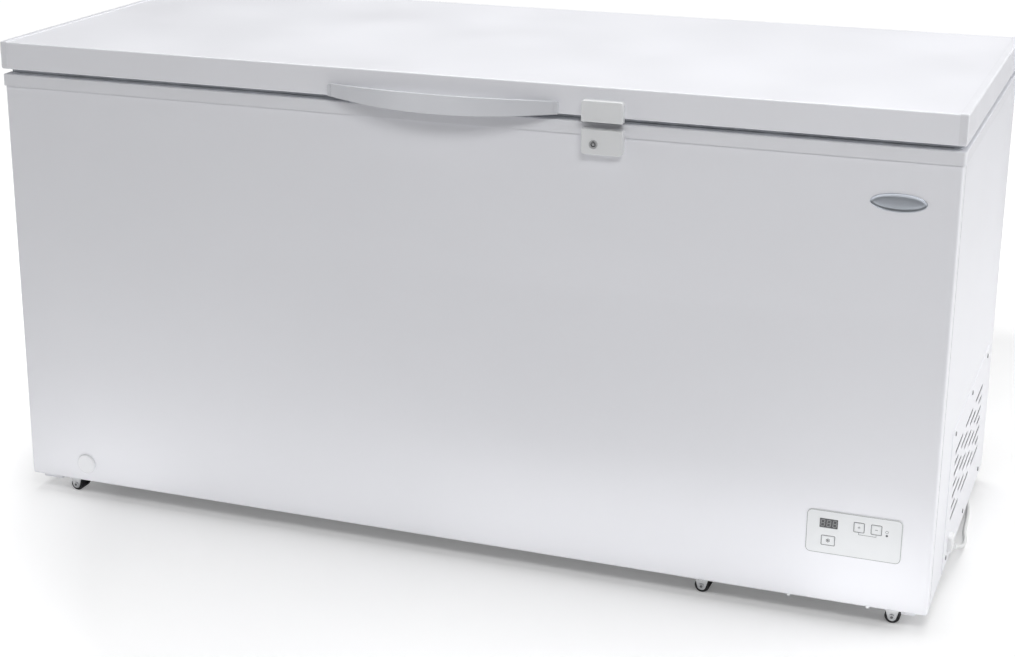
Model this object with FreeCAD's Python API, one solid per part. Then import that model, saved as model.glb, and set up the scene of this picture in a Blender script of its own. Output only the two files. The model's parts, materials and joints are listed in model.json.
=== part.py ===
import FreeCAD, Part
import math
import os

# Chest freezer, modelled in millimetres.
# x runs to the right, y from the front to the back, z up from the floor.
# While modelling, y = 0 is the front panel's outer face. Every solid is shifted when it is saved, so that
# the finished part's origin lies on the floor, midway between its foremost and rearmost points.

V = FreeCAD.Vector
X_AXIS = V(1, 0, 0)
Y_AXIS = V(0, 1, 0)
Z_AXIS = V(0, 0, 1)

# ---- cabinet ----
cabinet_width = 1655.0
cabinet_depth = 690.0
cabinet_height = 755.0
caster_head_room = 8.0
sheet = 0.8
edge_radius = 5.0
bottom_radius = 2.5
corner_return = 23.0
seam_gap = 0.6
bottom_flange = 12.0
end_flange = 19.0
foam_clearance = 0.2
pan_thickness = 1.0
pan_inset = 4.0
panel_top_drop = 1.0

# ---- tub ----
wall = 62.0
floor_wall = 62.0
tub_sheet = 1.0
tub_corner = 20.0
tub_floor_radius = 8.0
sheet_joint_margin = 30.0

# ---- compressor compartment ----
compartment_width = 397.5
compartment_height = 262.0
plate_thickness = 1.5
plate_overlap = 15.0
plate_front = 4.0
plate_side_gap = 4.0
plate_bolts = (0.475, 0.8)
plate_bolt_inset = 9.5
plate_bolt_radius = 2.4
plate_bolt_head = (4.5, 4.5)
plate_bolt_end = 4.0
bolt_clearance = 0.1

# ---- top trim frame ----
trim_proud = 2.5
trim_height = 20.5
trim_wall = 2.4
trim_corner = 5.5
trim_rear_corner = 5.0
trim_fit = 0.1
trim_edge = 1.8
ledge_start = 50.0
ledge_drop = 14.0
lip_height = 16.0
lip_clearance = 0.2

# ---- lid ----
lid_gap = 9.5
lid_height = 48.0
lid_front_overhang = 2.0
lid_bend = 3.0
lid_flange = 8.0
cap_width = 13.5
cap_proud = 1.0
cap_front_proud = 0.5
cap_edge = 3.5
cap_tongue = 8.0
cap_fit = 0.2
cap_tongue_wall = 4.0
lid_liner_wall = 1.5
lid_liner_end_gap = 0.5
lid_plug_inset = 70.0
lid_plug_depth = 8.0
gasket_inset = 6.0
gasket_width = 14.0
gasket_corner = 16.0
gasket_clearance = 0.3
gasket_groove_depth = 2.0
gasket_groove = (3.0, 4.5)

# ---- handle ----
handle_length = 397.0
handle_top = 20.5
handle_bottom = 0.5
handle_sag = 8.0
handle_back_gap = 2.0
handle_foot = 6.0
handle_bow_top = 22.0
handle_bow_bottom = 36.0
handle_wall = 4.0
handle_foot_length = 14.0
handle_corner = 3.0
handle_seam_inset = 6.0
handle_seam = (0.8, 0.6)

# ---- lock ----
lock_centre_x = 273.5
lock_width = 67.5
lock_proud = 15.0
lock_wall = 2.5
lock_below_rim = 49.0
lock_height = 40.5
lock_corner = 6.5
lock_top_corner = 1.5
lock_round = 1.4
strike_drop = 6.0
strike_height = 33.5
strike_corner = 4.0
strike_low_corner = 1.2
strike_round = 1.0
strike_back = 1.5
cylinder_offset = 13.5
cylinder_below_rim = 32.5
cylinder_radius = 7.0
turning_clearance = 0.05
cylinder_proud = 0.8
key_ring = (2.3, 4.3)
key_ring_depth = 6.0
key_notch = (1.2, 5.6)
key_post_drop = 0.6
tongue_length = 42.0
tongue_width = 9.0
tongue_thickness = 2.5
tongue_behind_face = 3.0
tongue_room = 1.0

# ---- hinges ----
hinge_offset = 560.0
hinge_half_width = 26.0
hinge_sheet = 2.0
hinge_bottom = 640.0
pin_behind = 16.0
pin_above_rim = 13.0
pin_radius = 4.0
hinge_round = 10.5
arm_hub = 8.5
arm_sheet = 2.5
arm_half_width = 34.0
lift_radius = 5.0
lid_opening = math.radians(75.0)
follower_width = 5.5
follower_height = 8.0
follower_clearance = 0.2
spring_wire = 0.9
spring_radius = 5.1
spring_turns = 12
spring_seat = 662.0
hinge_slant = 12.0
hinge_web_gap = 1.5
hinge_seat_reach = 4.0
hinge_corner = 4.0
hinge_bore_fit = 0.02
hinge_screw = (2.4, 4.5, 2.0)
hinge_screw_hole = 2.5
hinge_screw_aside = 14.0
hinge_screw_low = 12.0
hinge_screw_high = 108.0
arm_leaf = 2.2
arm_leaf_low = 3.0
arm_leaf_high = 40.0
arm_web = (5.0, 36.0)
arm_gap = 1.0
cam_spare_angle = 0.12
pin_head = (6.0, 2.4)
follower_gap = 0.4
follower_stem = 14.0
spring_gap = 0.1

# ---- casters ----
caster_front_inset = 37.0
caster_left_inset = 80.0
caster_right_inset = 57.5
caster_middle_inset = 25.0
wheel_radius = 12.5
wheel_width = 29.0
wheel_side_gap = 1.0
wheel_edge = 1.5
axle_radius = 3.0
axle_fit = 0.02
axle_clearance = 0.05
fork_sheet = 1.5
fork_top_width = 26.0
fork_round = 7.2
caster_plate_half = 13.0
caster_plate_thickness = 2.0
rivet_radius = 4.8
rivet_height = 1.8
rivet_round = 1.4
rivet_hollow = (2.4, 1.2)
rail_depth = 6.0
rail_sheet = 1.2
rail_end = 6.0
left_rail = (21.5, 60.0)
right_rail = (19.5, 41.5)

# ---- vent panel on the right side ----
vent_front = 150.0
vent_back_inset = 50.0
vent_bottom = 5.0
vent_below_ceiling = 4.0
vent_thickness = 1.0
vent_opening_side = 15.0
vent_opening_low = 26.0
vent_opening_high = 23.0
vent_opening_radius = 10.0
vent_corner = 4.0
vent_screw_inset = 36.0
vent_screw_low = 17.0
vent_screw_drop = 14.0
vent_screw = (1.9, 6.0, 4.0, 1.4)
vent_screw_hole = 2.0
screw_slot = (1.3, 0.28, 0.45)
slot_rows = 7
slot_first_row = 78.0
slot_last_row = 56.2
slot_height = 7.0
slot_block_start = 55.0
slot_block_length = 355.0
slot_gap = 36.0
short_slot = 46.0

# ---- slots in the back panel behind the compartment ----
back_slot_low = 60.0
back_slot_rows = 6
back_slot_columns = 3
back_slot_length = 80.0
back_slot_pitch_x = 110.0
back_slot_pitch_z = 26.0

# ---- controls ----
control_right_inset = 47.5
control_bottom = 82.0
control_width = 153.0
control_height = 75.0
control_corner = 9.0
control_proud = 1.2
control_cutout_margin = 5.0
control_round = 0.5
control_window_corner = 0.8
window_gap = 0.1
housing_depth = 34.0
housing_wall = 2.0
housing_margin = 4.0
housing_post = 7.0
housing_post_inset = 1.0
key_clearance = 0.25
key_travel = 0.5
key_proud = 0.3
key_depth = 3.0
key_corner = 1.0
key_hole_corner = 1.2
key_round = 0.3
board_depth = 12.0
board_thickness = 1.6
board_inset = 1.0
board_lap = 0.1
switch_half = 3.0
switch_gap = 0.05
switch_corner = 0.5
display_recess = 0.4
display_corner = 0.6
display_box = (21.5, 50.5, 45.0, 61.0)
key_boxes = {
    "key_plus": (77.0, 91.5, 46.5, 60.8),
    "key_minus": (104.5, 119.0, 46.5, 60.8),
    "key_fast_freeze": (26.5, 46.0, 16.5, 30.8),
}

# ---- drain ----
drain_left_inset = 118.5
drain_depth = 100.0
drain_height = 34.5
drain_bore = 10.0
drain_wall = 3.0
drain_bend = 18.0
drain_cap_radius = 18.5
drain_cap_height = 4.0
drain_cap_round = 3.0
drain_stem_clearance = 0.3
drain_stem_length = 12.0
drain_plug_flange = 6.0
drain_plug_height = 4.0
drain_plug_round = 1.5
drain_plug_stem = 10.0
drain_tab_half = 6.0
drain_tab_top = 16.0
drain_tab_corner = 3.0
drain_tab_thickness = 3.0

# ---- basket ----
basket_length = 300.0
basket_height = 200.0
basket_wire = 1.6
basket_rim_wire = 2.5
basket_corner = 16.0
basket_hook_inset = 50.0
basket_hook_width = 24.0
basket_seat_clearance = 0.3
basket_end_clearance = 12.0
basket_side_clearance = 12.0

# ---- refrigeration ----
evaporator_radius = 4.0
evaporator_gap = 0.3
evaporator_below_rim = 60.0
evaporator_pitch = 70.0
evaporator_lower_pitch = 56.0
evaporator_above_step = 30.0
evaporator_upper_turns = 5
evaporator_lower_turns = 4
pipe_hole_clearance = 0.3
pipe_stub = 3.0
suction_height = 97.0
liquid_offset = 170.0
compressor_offset = 110.0
compressor_y = 420.0
compressor_radius = 76.0
compressor_height = 172.0
compressor_round_low = 26.0
compressor_round_top = 42.0
compressor_belt = 3.5
compressor_belt_height = 7.0
compressor_belt_round = 1.5
shell_below_foot = 6.0
mount_span = (62.0, 96.0)
mount_radius = 11.0
mount_height = 18.0
mount_bolt = 3.0
mount_bolt_head = (7.0, 2.0)
mount_bolt_end = 8.0
mount_nut = (6.0, 4.0)
foot_margin = 13.0
foot_thickness = 3.0
stub_radius = 4.5
stub_offset = 30.0
stub_share = 0.45
stub_root = 20.0
terminal = (24.0, 12.0, 40.0, 86.0)
relay = (28.0, 30.0, 36.0, 92.0)
relay_corner = 5.0
relay_round = 2.5
fan_plate_inset = 113.0
fan_y = 365.0
fan_lift = 1.0
fan_room = 39.0
fan_opening_gap = 4.0
fan_hub = 21.0
fan_hub_width = 22.0
fan_hub_gap = 8.0
fan_blades = 5
fan_pitch = 62.0
blade_half_chord = 26.0
blade_half_thickness = 1.0
fan_shaft = 3.0
fan_shaft_end = 14.0
shroud_margin = 12.0
shroud_corner = 8.0
shroud_sheet = 2.0
shroud_depth = 24.0
shroud_foot = 30.0
shroud_leg_inset = 10.0
motor_radius = 30.0
motor_length = 46.0
motor_round = 5.0
motor_arm_gap = 42.0
motor_arm_half = 5.0
motor_arm_lap = 0.5
motor_rim = 2.0
condenser_inset = 70.0
condenser_column_gap = 22.0
condenser_front = 209.0
condenser_length = 312.0
condenser_bottom = 48.0
condenser_top_gap = 44.0
condenser_rows = 6
condenser_tube_radius = 4.0
condenser_bend_gap = 0.5
condenser_tail = 20.0
condenser_fins = 24
fin_sheet = 0.8
fin_edge = 12.0
fin_hole_clearance = 0.1
fin_end = 36.0
fin_plate_end = 24.0
fin_plate_sheet = 1.5
fin_foot = 14.0
drier_inset = 110.0
drier_y = (45.0, 150.0)
drier_radius = 11.0
drier_cone = 15.0
drier_neck = 1.0
pipe_bend = 9.0
pipe_behind_stubs = 40.0
pipe_inlet_offset = 15.0
pipe_below_ceiling = 30.0
discharge_ahead = 39.0
liquid_ahead = 25.0
feed_rise = 12.0
feed_y = 30.0
suction_radius = 4.0
discharge_radius = 3.0
capillary_radius = 2.0

# ---- mains cord ----
cord_radius = 3.5
gland_y = (197.0, 223.0)
gland_height = (26.0, 56.0)
gland_proud = 8.0
gland_corner = 5.0
gland_round = 3.0
relief_radius = 5.5
relief_length = 34.0
relief_tip = 0.6
coil_centre = (712.0, 768.0)
coil_mean_radius = 38.5
coil_half_width = 10.5
coil_height = 14.0
plug_radius = 19.0
plug_height = 20.0
plug_round_back = 4.0
plug_round_face = 1.5
plug_from_coil = 74.0
neck_from_coil = 22.0
neck_radius = 8.0
neck_z = 9.0
pin_length = 19.0
pin_size = 2.4
pin_pitch = 19.0

# Route of the free cord from the strain relief to the coil, at the cord's centre line.
cord_points = [
    (836.4, 250.0, 50.0),
    (837.6, 277.0, 38.0),
    (838.0, 306.0, 26.0),
    (838.2, 335.0, 14.6),
    (838.9, 363.0, 4.6),
    (838.8, 389.0, 3.5),
    (833.8, 413.0, 3.5),
    (831.2, 440.0, 3.5),
    (830.2, 470.0, 3.5),
    (828.0, 501.0, 3.5),
    (824.6, 533.0, 3.5),
    (819.2, 566.0, 3.5),
    (813.4, 600.0, 3.5),
    (806.6, 632.0, 3.5),
    (802.4, 662.0, 3.5),
    (799.6, 691.0, 3.5),
    (786.0, 713.5, 3.5),
    (762.0, 722.2, 3.5),
    (734.0, 722.5, 3.5),
]

# ---- sizes that follow ----
half_width = cabinet_width / 2
base_z = 2 * wheel_radius + caster_head_room
rim_z = base_z + cabinet_height
panel_top = rim_z - trim_wall - panel_top_drop
lid_bottom = rim_z + lid_gap
lid_sheet_top = lid_bottom + lid_height
lid_front = -trim_proud - lid_front_overhang
lid_back = cabinet_depth + trim_proud
lid_half = half_width + trim_proud
tub_half = half_width - wall
tub_front = wall
tub_back = cabinet_depth - wall
tub_top = rim_z - ledge_drop - trim_wall
trim_mouth_corner = tub_corner + wall - ledge_start
tub_floor = base_z + floor_wall
pan_top = base_z + sheet + pan_thickness
compartment_x = half_width - compartment_width
vent_top = compartment_height - vent_below_ceiling
slot_pitch = (vent_top - vent_bottom - slot_first_row - slot_last_row) / (slot_rows - 1)
compartment_top = base_z + compartment_height
step_x = compartment_x - wall
step_z = compartment_top + floor_wall
liner_floor = lid_bottom + sheet
plug_bottom = rim_z - lid_plug_depth
pin_y = cabinet_depth + pin_behind
pin_z = rim_z + pin_above_rim
hinge_back = pin_y + hinge_round
wheel_z = wheel_radius
handle_reach = -lid_front + handle_foot + handle_bow_bottom
plate_bottom = base_z - plate_thickness
lock_x0 = lock_centre_x - lock_width / 2
lock_x1 = lock_centre_x + lock_width / 2
cylinder_x = lock_centre_x - cylinder_offset
cylinder_z = rim_z - cylinder_below_rim
tongue_y = -lock_proud + lock_wall + tongue_behind_face
compressor_x = compartment_x + compressor_offset
foot_z = base_z + mount_height
shell_z = foot_z - shell_below_foot
stub_y = compressor_y + mount_span[1]
stub_z = shell_z + compressor_height * stub_share
fan_plate_x = half_width - fan_plate_inset
fan_z = base_z + compartment_height / 2 + fan_lift
fan_opening = compartment_height / 2 - fan_room
fan_radius = fan_opening - fan_opening_gap
condenser_x = half_width - condenser_inset
condenser_back = condenser_front + condenser_length
condenser_row_pitch = (compartment_height - condenser_bottom - condenser_top_gap) / (condenser_rows - 1)
drier_x = half_width - drier_inset
evaporator_away = tub_sheet + evaporator_radius + evaporator_gap
evaporator_back = tub_back + evaporator_away
liquid_x = compartment_x + liquid_offset
suction_y = cabinet_depth / 2
suction_z = base_z + suction_height
control_x = half_width - control_right_inset - control_width
control_face = (0.0, control_width, 0.0, control_height)
control_z = base_z + control_bottom
drain_x = -half_width + drain_left_inset
gland_z = [base_z + z for z in gland_height]
origin_y = (hinge_back - handle_reach) / 2


def box(x0, x1, y0, y1, z0, z1):
    """An upright block between two corners."""
    return Part.makeBox(x1 - x0, y1 - y0, z1 - z0, V(x0, y0, z0))


def cylinder(centre, axis, radius, length):
    return Part.makeCylinder(radius, length, V(*centre), axis)


def fuse(shapes):
    return shapes[0].multiFuse(shapes[1:]).removeSplitter()


def cut(shape, tools):
    for tool in tools:
        shape = shape.cut(tool)
    return shape


def corner(before, point, after, radius):
    """Start, middle and end of the arc that rounds a corner."""
    a = (before - point).normalize()
    b = (after - point).normalize()
    half = a.getAngle(b) / 2
    inward = (a + b).normalize()
    reach = radius / math.tan(half)
    middle = point + inward * (radius / math.sin(half) - radius)
    return point + a * reach, middle, point + b * reach


def rounded_path(points, radii, closed):
    """Straight runs joined by tangent arcs, as one wire."""
    points = [V(*p) for p in points]
    count = len(points)
    ends = []
    for i, point in enumerate(points):
        if radii[i] > 0:
            ends.append(corner(points[i - 1], point, points[(i + 1) % count], radii[i]))
        else:
            ends.append((point, None, point))
    edges = []
    for i in range(count):
        start, middle, end = ends[i]
        if middle is not None:
            edges.append(Part.Arc(start, middle, end).toShape())
        last = i == count - 1
        if last and not closed:
            break
        following = ends[(i + 1) % count][0]
        if end.distanceToPoint(following) > 1e-6:
            edges.append(Part.LineSegment(end, following).toShape())
    return Part.Wire(edges)


def prism(points, radii, direction):
    """A closed outline with rounded corners, extruded."""
    return Part.Face(rounded_path(points, radii, True)).extrude(direction)


def plate_xz(x0, x1, z0, z1, radius, y0, y1):
    """A plate facing the front, with four rounded corners."""
    points = [(x0, y0, z0), (x1, y0, z0), (x1, y0, z1), (x0, y0, z1)]
    return prism(points, [radius] * 4, V(0, y1 - y0, 0))


def plate_yz(y0, y1, z0, z1, radius, x0, x1):
    """A plate facing the side, with four rounded corners."""
    points = [(x0, y0, z0), (x0, y1, z0), (x0, y1, z1), (x0, y0, z1)]
    return prism(points, [radius] * 4, V(x1 - x0, 0, 0))


def loop_prism(inset, z0, z1, radius):
    """A rectangle parallel to the cabinet's outline, inset by a distance, extruded upwards."""
    x = half_width - inset
    y0 = inset
    y1 = cabinet_depth - inset
    points = [(-x, y0, z0), (x, y0, z0), (x, y1, z0), (-x, y1, z0)]
    return prism(points, [radius] * 4, V(0, 0, z1 - z0))


def ring(inset, width, z0, z1, radius):
    outer = loop_prism(inset, z0, z1, radius)
    return outer.cut(loop_prism(inset + width, z0 - 1, z1 + 1, max(radius - width, 1.0)))


def round_rim(shape, radius, axis, value):
    """Rounds the whole edge of a disc or cylinder at one height."""
    return shape.makeFillet(radius, [e for e in shape.Edges if flat_at(e, axis, value)])


def mitred(shape, x0, x1, y0, y1):
    """A frame cut into four lengths that meet on the diagonals from its corners."""
    m = sheet_joint_margin
    d = min(x1 - x0, y1 - y0) / 2 - 1
    z0 = shape.BoundBox.ZMin - 1
    z1 = shape.BoundBox.ZMax + 1
    front = [(x0 - m, y0 - m, z0), (x1 + m, y0 - m, z0), (x1 - d, y0 + d, z0), (x0 + d, y0 + d, z0)]
    back = [(x0 - m, y1 + m, z0), (x0 + d, y1 - d, z0), (x1 - d, y1 - d, z0), (x1 + m, y1 + m, z0)]
    left = [(x0 - m, y0 - m, z0), (x0 + d, y0 + d, z0), (x0 + d, y1 - d, z0), (x0 - m, y1 + m, z0)]
    right = [(x1 + m, y0 - m, z0), (x1 + m, y1 + m, z0), (x1 - d, y1 - d, z0), (x1 - d, y0 + d, z0)]
    lengths = []
    for outline in (front, back, left, right):
        lengths += shape.common(prism(outline, [0] * 4, V(0, 0, z1 - z0))).Solids
    return lengths


def fillet_where(shape, radius, test):
    edges = [edge for edge in shape.Edges if test(edge)]
    return shape.makeFillet(radius, edges)


def flat_at(edge, axis, value):
    """True when both ends of an edge have this coordinate."""
    return all(abs(getattr(v.Point, axis) - value) < 1e-4 for v in edge.Vertexes)


def tube_along(points, radii, radius, bore=0.0):
    """A round tube along straight runs and tangent arcs."""
    path = rounded_path(points, radii, False)
    start = V(*points[0])
    direction = V(*points[1]) - start
    outer = path.makePipe(Part.Face(Part.Wire(Part.makeCircle(radius, start, direction))))
    if bore == 0.0:
        return outer
    inner = path.makePipe(Part.Face(Part.Wire(Part.makeCircle(bore, start, direction))))
    return outer.cut(inner)


def save(name, shape):
    moved = shape.copy()
    moved.translate(V(0, -origin_y, 0))
    solids = moved.Solids
    volume = sum(s.Volume for s in solids)
    print(f"{name:20s} solids {len(solids):3d} volume {volume / 1000:10.1f} cm3 valid {moved.isValid()}")
    solids_only = solids[0] if len(solids) == 1 else Part.makeCompound(solids)
    solids_only.exportStep(f"parts/{name}.step")


# ---- cabinet sheets ----
def front_shell(grow, depth, top):
    """The cabinet's front with its rounded edges, grown outwards, or inwards when negative."""
    x = half_width + grow
    shell = box(-x, x, -grow, depth, base_z - grow, top)
    shell = fillet_where(
        shell, edge_radius + grow,
        lambda e: flat_at(e, "y", -grow) and (flat_at(e, "x", x) or flat_at(e, "x", -x)),
    )
    return fillet_where(
        shell, bottom_radius + grow,
        lambda e: flat_at(e, "z", base_z - grow) and not flat_at(e, "y", depth),
    )


def control_opening():
    m = control_cutout_margin
    x1 = control_x + control_width - m
    z1 = control_z + control_height - m
    return box(control_x + m, x1, -1, 2, control_z + m, z1)


def plate_bolt_holes():
    radius = plate_bolt_radius + bolt_clearance
    return [cylinder((x, y, plate_bottom - 1), Z_AXIS, radius, 5) for x, y in plate_bolt_places()]


def front_panel():
    """Sheet with returns at both sides and along the bottom."""
    outer = front_shell(0.0, corner_return, panel_top)
    inner = front_shell(-sheet, corner_return + 1, panel_top + 1)
    drain_hole = cylinder((drain_x, -1, base_z + drain_height), Y_AXIS, drain_bore, 3)
    x = half_width - bottom_flange
    beyond_return = box(-x, x, end_flange, corner_return + 1, base_z - 1, base_z + bottom_radius)
    return cut(outer, [inner, control_opening(), drain_hole, beyond_return] + plate_bolt_holes())


def side_panel(side):
    """A flat side with a flange turned in at the bottom."""
    y0 = corner_return + seam_gap
    y1 = cabinet_depth - sheet - seam_gap
    x0 = half_width - bottom_flange
    outer = box(x0, half_width, y0, y1, base_z, panel_top)
    outer = fillet_where(
        outer, bottom_radius,
        lambda e: flat_at(e, "z", base_z) and flat_at(e, "x", half_width),
    )
    inner = box(x0 - 1, half_width - sheet, y0 - 1, y1 + 1, base_z + sheet, panel_top + 1)
    inner = fillet_where(
        inner, bottom_radius - sheet,
        lambda e: flat_at(e, "z", base_z + sheet) and flat_at(e, "x", half_width - sheet),
    )
    panel = outer.cut(inner)
    if side < 0:
        panel = panel.mirror(V(0, 0, 0), X_AXIS)
    return panel


def vent_opening():
    y0 = vent_front + vent_opening_side
    y1 = cabinet_depth - vent_back_inset - vent_opening_side
    z0 = base_z + vent_bottom + vent_opening_low
    z1 = base_z + vent_top - vent_opening_high
    return plate_yz(y0, y1, z0, z1, vent_opening_radius, half_width - 5, half_width + 5)


def vent_screw_places():
    y0 = vent_front + vent_screw_inset
    y1 = cabinet_depth - vent_back_inset - vent_screw_inset
    z0 = base_z + vent_bottom + vent_screw_low
    z1 = base_z + vent_top - vent_screw_drop
    return [(y, z) for y in (y0, (y0 + y1) / 2, y1) for z in (z0, z1)]


def right_panel():
    panel = side_panel(1).cut(vent_opening())
    holes = [cylinder((half_width - 3, y, z), X_AXIS, vent_screw_hole, 6) for y, z in vent_screw_places()]
    return cut(panel, holes)


def back_slot_places():
    middle = (compartment_x + half_width) / 2
    z0 = base_z + back_slot_low
    places = []
    for row in range(back_slot_rows):
        for column in range(back_slot_columns):
            shift = back_slot_pitch_x * (column - (back_slot_columns - 1) / 2)
            places.append((middle + shift, z0 + row * back_slot_pitch_z))
    return places


def back_panel():
    """Flat sheet with a flange turned in at the bottom and air slots behind the compartment."""
    y1 = cabinet_depth
    x = half_width - sheet - seam_gap
    panel = box(-x, x, y1 - sheet, y1, base_z, panel_top)
    x -= bottom_flange
    flange = box(-x, x, y1 - end_flange, y1, base_z, base_z + sheet)
    half = back_slot_length / 2
    r = slot_height / 2
    slots = [plate_xz(px - half, px + half, pz - r, pz + r, r - 0.01, y1 - 2, y1 + 2)
             for px, pz in back_slot_places()]
    holes = [cylinder((px, y1 - 2, pz), Y_AXIS, hinge_screw_hole, 4) for px, pz in hinge_screw_places()]
    return cut(fuse([panel, flange]), slots + holes + plate_bolt_holes())


def base_pan():
    inset = pan_inset
    return box(-half_width + inset, compartment_x, inset, cabinet_depth - inset, base_z + sheet, pan_top)


def compartment_liner():
    """Wall and ceiling that keep the foam out of the compressor's compartment."""
    x0 = compartment_x
    x1 = half_width - sheet - foam_clearance
    y0 = sheet + foam_clearance
    y1 = cabinet_depth - sheet - foam_clearance
    top = compartment_top
    upright = box(x0, x0 + sheet, y0 + edge_radius, y1 - edge_radius, pan_top, top + sheet)
    outline = [(x0, y0, top), (x1, y0, top), (x1, y1, top), (x0, y1, top)]
    ceiling = prism(outline, [0, edge_radius, 0, 0], V(0, 0, sheet))
    r = evaporator_radius + pipe_hole_clearance
    holes = [cylinder((x0 - 2, suction_y, suction_z), X_AXIS, r, 6),
             cylinder((liquid_x, evaporator_back, top - 3), Z_AXIS, r, 6)]
    return cut(fuse([upright, ceiling]), holes)


# ---- tub, foam and evaporator ----
def tub_solid(grow, top):
    """The stepped space inside the tub, grown outwards."""
    x = tub_half + grow
    floor = tub_floor - grow
    step = step_z - grow
    y0 = tub_front - grow - 1
    r = tub_floor_radius + grow
    points = [(-x, y0, top), (-x, y0, floor), (step_x + grow, y0, floor), (step_x + grow, y0, step),
              (x, y0, step), (x, y0, top)]
    depth = tub_back - tub_front + 2 * grow + 2
    profile = prism(points, [0, r, r, tub_floor_radius - grow, r, 0], V(0, depth, 0))
    plan = loop_prism(wall - grow, floor - 1, top + 1, tub_corner + grow)
    return cut(profile.common(plan), step_corners(grow))


def step_corners(grow):
    """What the rounded upright corners beside the step take away from the space inside the tub."""
    r = tub_corner + grow
    x1 = step_x + grow
    fillers = []
    for y, side in ((tub_front - grow, 1), (tub_back + grow, -1)):
        centre_y = y + side * r
        y0, y1 = sorted((y, centre_y))
        block = box(x1 - r, x1, y0, y1, tub_floor - grow - 1, step_z - tub_floor_radius)
        fillers.append(block.cut(cylinder((x1 - r, centre_y, 0), Z_AXIS, r, rim_z)))
    return fillers


def inner_liner():
    """Folded sheets: a floor pan, a step pan and four walls round each of the two levels."""
    liner = tub_solid(tub_sheet, tub_top).cut(tub_solid(0.0, tub_top + 5))
    hole = cylinder((drain_x, drain_depth, tub_floor - 5), Z_AXIS, drain_bore, 10)
    liner = liner.cut(hole)
    edge = step_x + tub_floor_radius
    low = tub_floor + tub_floor_radius
    high = step_z + tub_floor_radius

    def part_of(x0, x1, z0, z1):
        return liner.common(box(x0, x1, -1, cabinet_depth + 1, z0, z1))

    floor_pan = part_of(-half_width, half_width, base_z, low)
    step_pan = part_of(edge, half_width, low, high)
    deep_walls = mitred(part_of(-half_width, edge, low, high), -tub_half, step_x, tub_front, tub_back)
    upper = part_of(-half_width, half_width, high, rim_z)
    upper_walls = mitred(upper, -tub_half, tub_half, tub_front, tub_back)
    return Part.makeCompound([floor_pan, step_pan] + deep_walls + upper_walls)


def evaporator():
    """One long tube wound round the tub, wide turns above the step and narrow turns below it."""
    left = -tub_half - evaporator_away
    right = tub_half + evaporator_away
    inner_right = step_x + evaporator_away
    front = tub_front - evaporator_away
    back = evaporator_back
    level = rim_z - evaporator_below_rim
    points = [(liquid_x, back, compartment_top - pipe_stub), (liquid_x, back, level)]
    for _ in range(evaporator_upper_turns):
        points += [(left, back, level), (left, front, level), (right, front, level), (right, back, level)]
        level -= evaporator_pitch
    del points[-2:]
    level = step_z - evaporator_above_step
    for turn in range(evaporator_lower_turns):
        if turn:
            points += [(left, back, level), (left, front, level)]
        points += [(inner_right, front, level), (inner_right, back, level)]
        level -= evaporator_lower_pitch
    points[-1] = (inner_right, suction_y, suction_z)
    points.append((compartment_x + pipe_stub, suction_y, suction_z))
    return points, [0] + [tub_corner + evaporator_away] * (len(points) - 2) + [0]


def insulation(evaporator_tube, drain):
    """Foam between the cabinet's sheets and the tub, cut back for the compartment and the trim's ledge."""
    gap = foam_clearance
    block = front_shell(-sheet - gap, cabinet_depth - sheet - gap, panel_top)
    below = box(-half_width, half_width, -1, cabinet_depth + 1, base_z - 1, pan_top + gap)
    mouth = loop_prism(ledge_start - gap, tub_top - gap, rim_z, trim_mouth_corner + gap)
    ceiling = compartment_top + sheet + gap
    room = box(compartment_x - gap, half_width + 5, -5, cabinet_depth + 5, base_z - 5, ceiling)
    return cut(block, [below, mouth, tub_solid(tub_sheet + gap, rim_z), room, evaporator_tube, drain])


def trim_outline(grow, z0, z1, front_radius, rear_radius):
    x = half_width + grow
    y1 = cabinet_depth + grow
    points = [(-x, -grow, z0), (x, -grow, z0), (x, y1, z0), (-x, y1, z0)]
    return prism(points, [front_radius, front_radius, rear_radius, rear_radius], V(0, 0, z1 - z0))


def top_trim():
    """Four mitred lengths that cover the sheet edges, carry the seal and form a ledge for the basket."""
    z0 = rim_z - trim_height
    outer = trim_outline(trim_proud, z0, rim_z, trim_corner, trim_rear_corner)
    outer = fillet_where(outer, trim_edge, lambda e: flat_at(e, "z", rim_z))
    cavity = trim_outline(trim_fit, z0 - 1, rim_z - trim_wall, edge_radius + trim_fit, trim_fit)
    mouth = loop_prism(ledge_start, z0 - 5, rim_z + 1, trim_mouth_corner)
    riser = ring(ledge_start, trim_wall, tub_top, rim_z, trim_mouth_corner)
    lip_inset = wall + lip_clearance
    ledge_width = lip_inset + trim_wall - ledge_start
    ledge = ring(ledge_start, ledge_width, tub_top, tub_top + trim_wall, trim_mouth_corner)
    lip = ring(lip_inset, trim_wall, tub_top - lip_height, tub_top + trim_wall, tub_corner - lip_clearance)
    frame = fuse([cut(outer, [cavity, mouth]), riser, ledge, lip])
    return Part.makeCompound(mitred(frame, -half_width, half_width, 0.0, cabinet_depth))


# ---- vent panel ----
def slot_rows_layout():
    """Start and length of each slot in the long rows and in the staggered rows."""
    long_slot = (slot_block_length - 2 * slot_gap) / 3
    long_row = [(i * (long_slot + slot_gap), long_slot) for i in range(3)]
    middle = (slot_block_length - 2 * short_slot - 3 * slot_gap) / 2
    staggered = [(0.0, short_slot)]
    staggered += [(short_slot + slot_gap + i * (middle + slot_gap), middle) for i in range(2)]
    staggered.append((slot_block_length - short_slot, short_slot))
    return long_row, staggered


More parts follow.
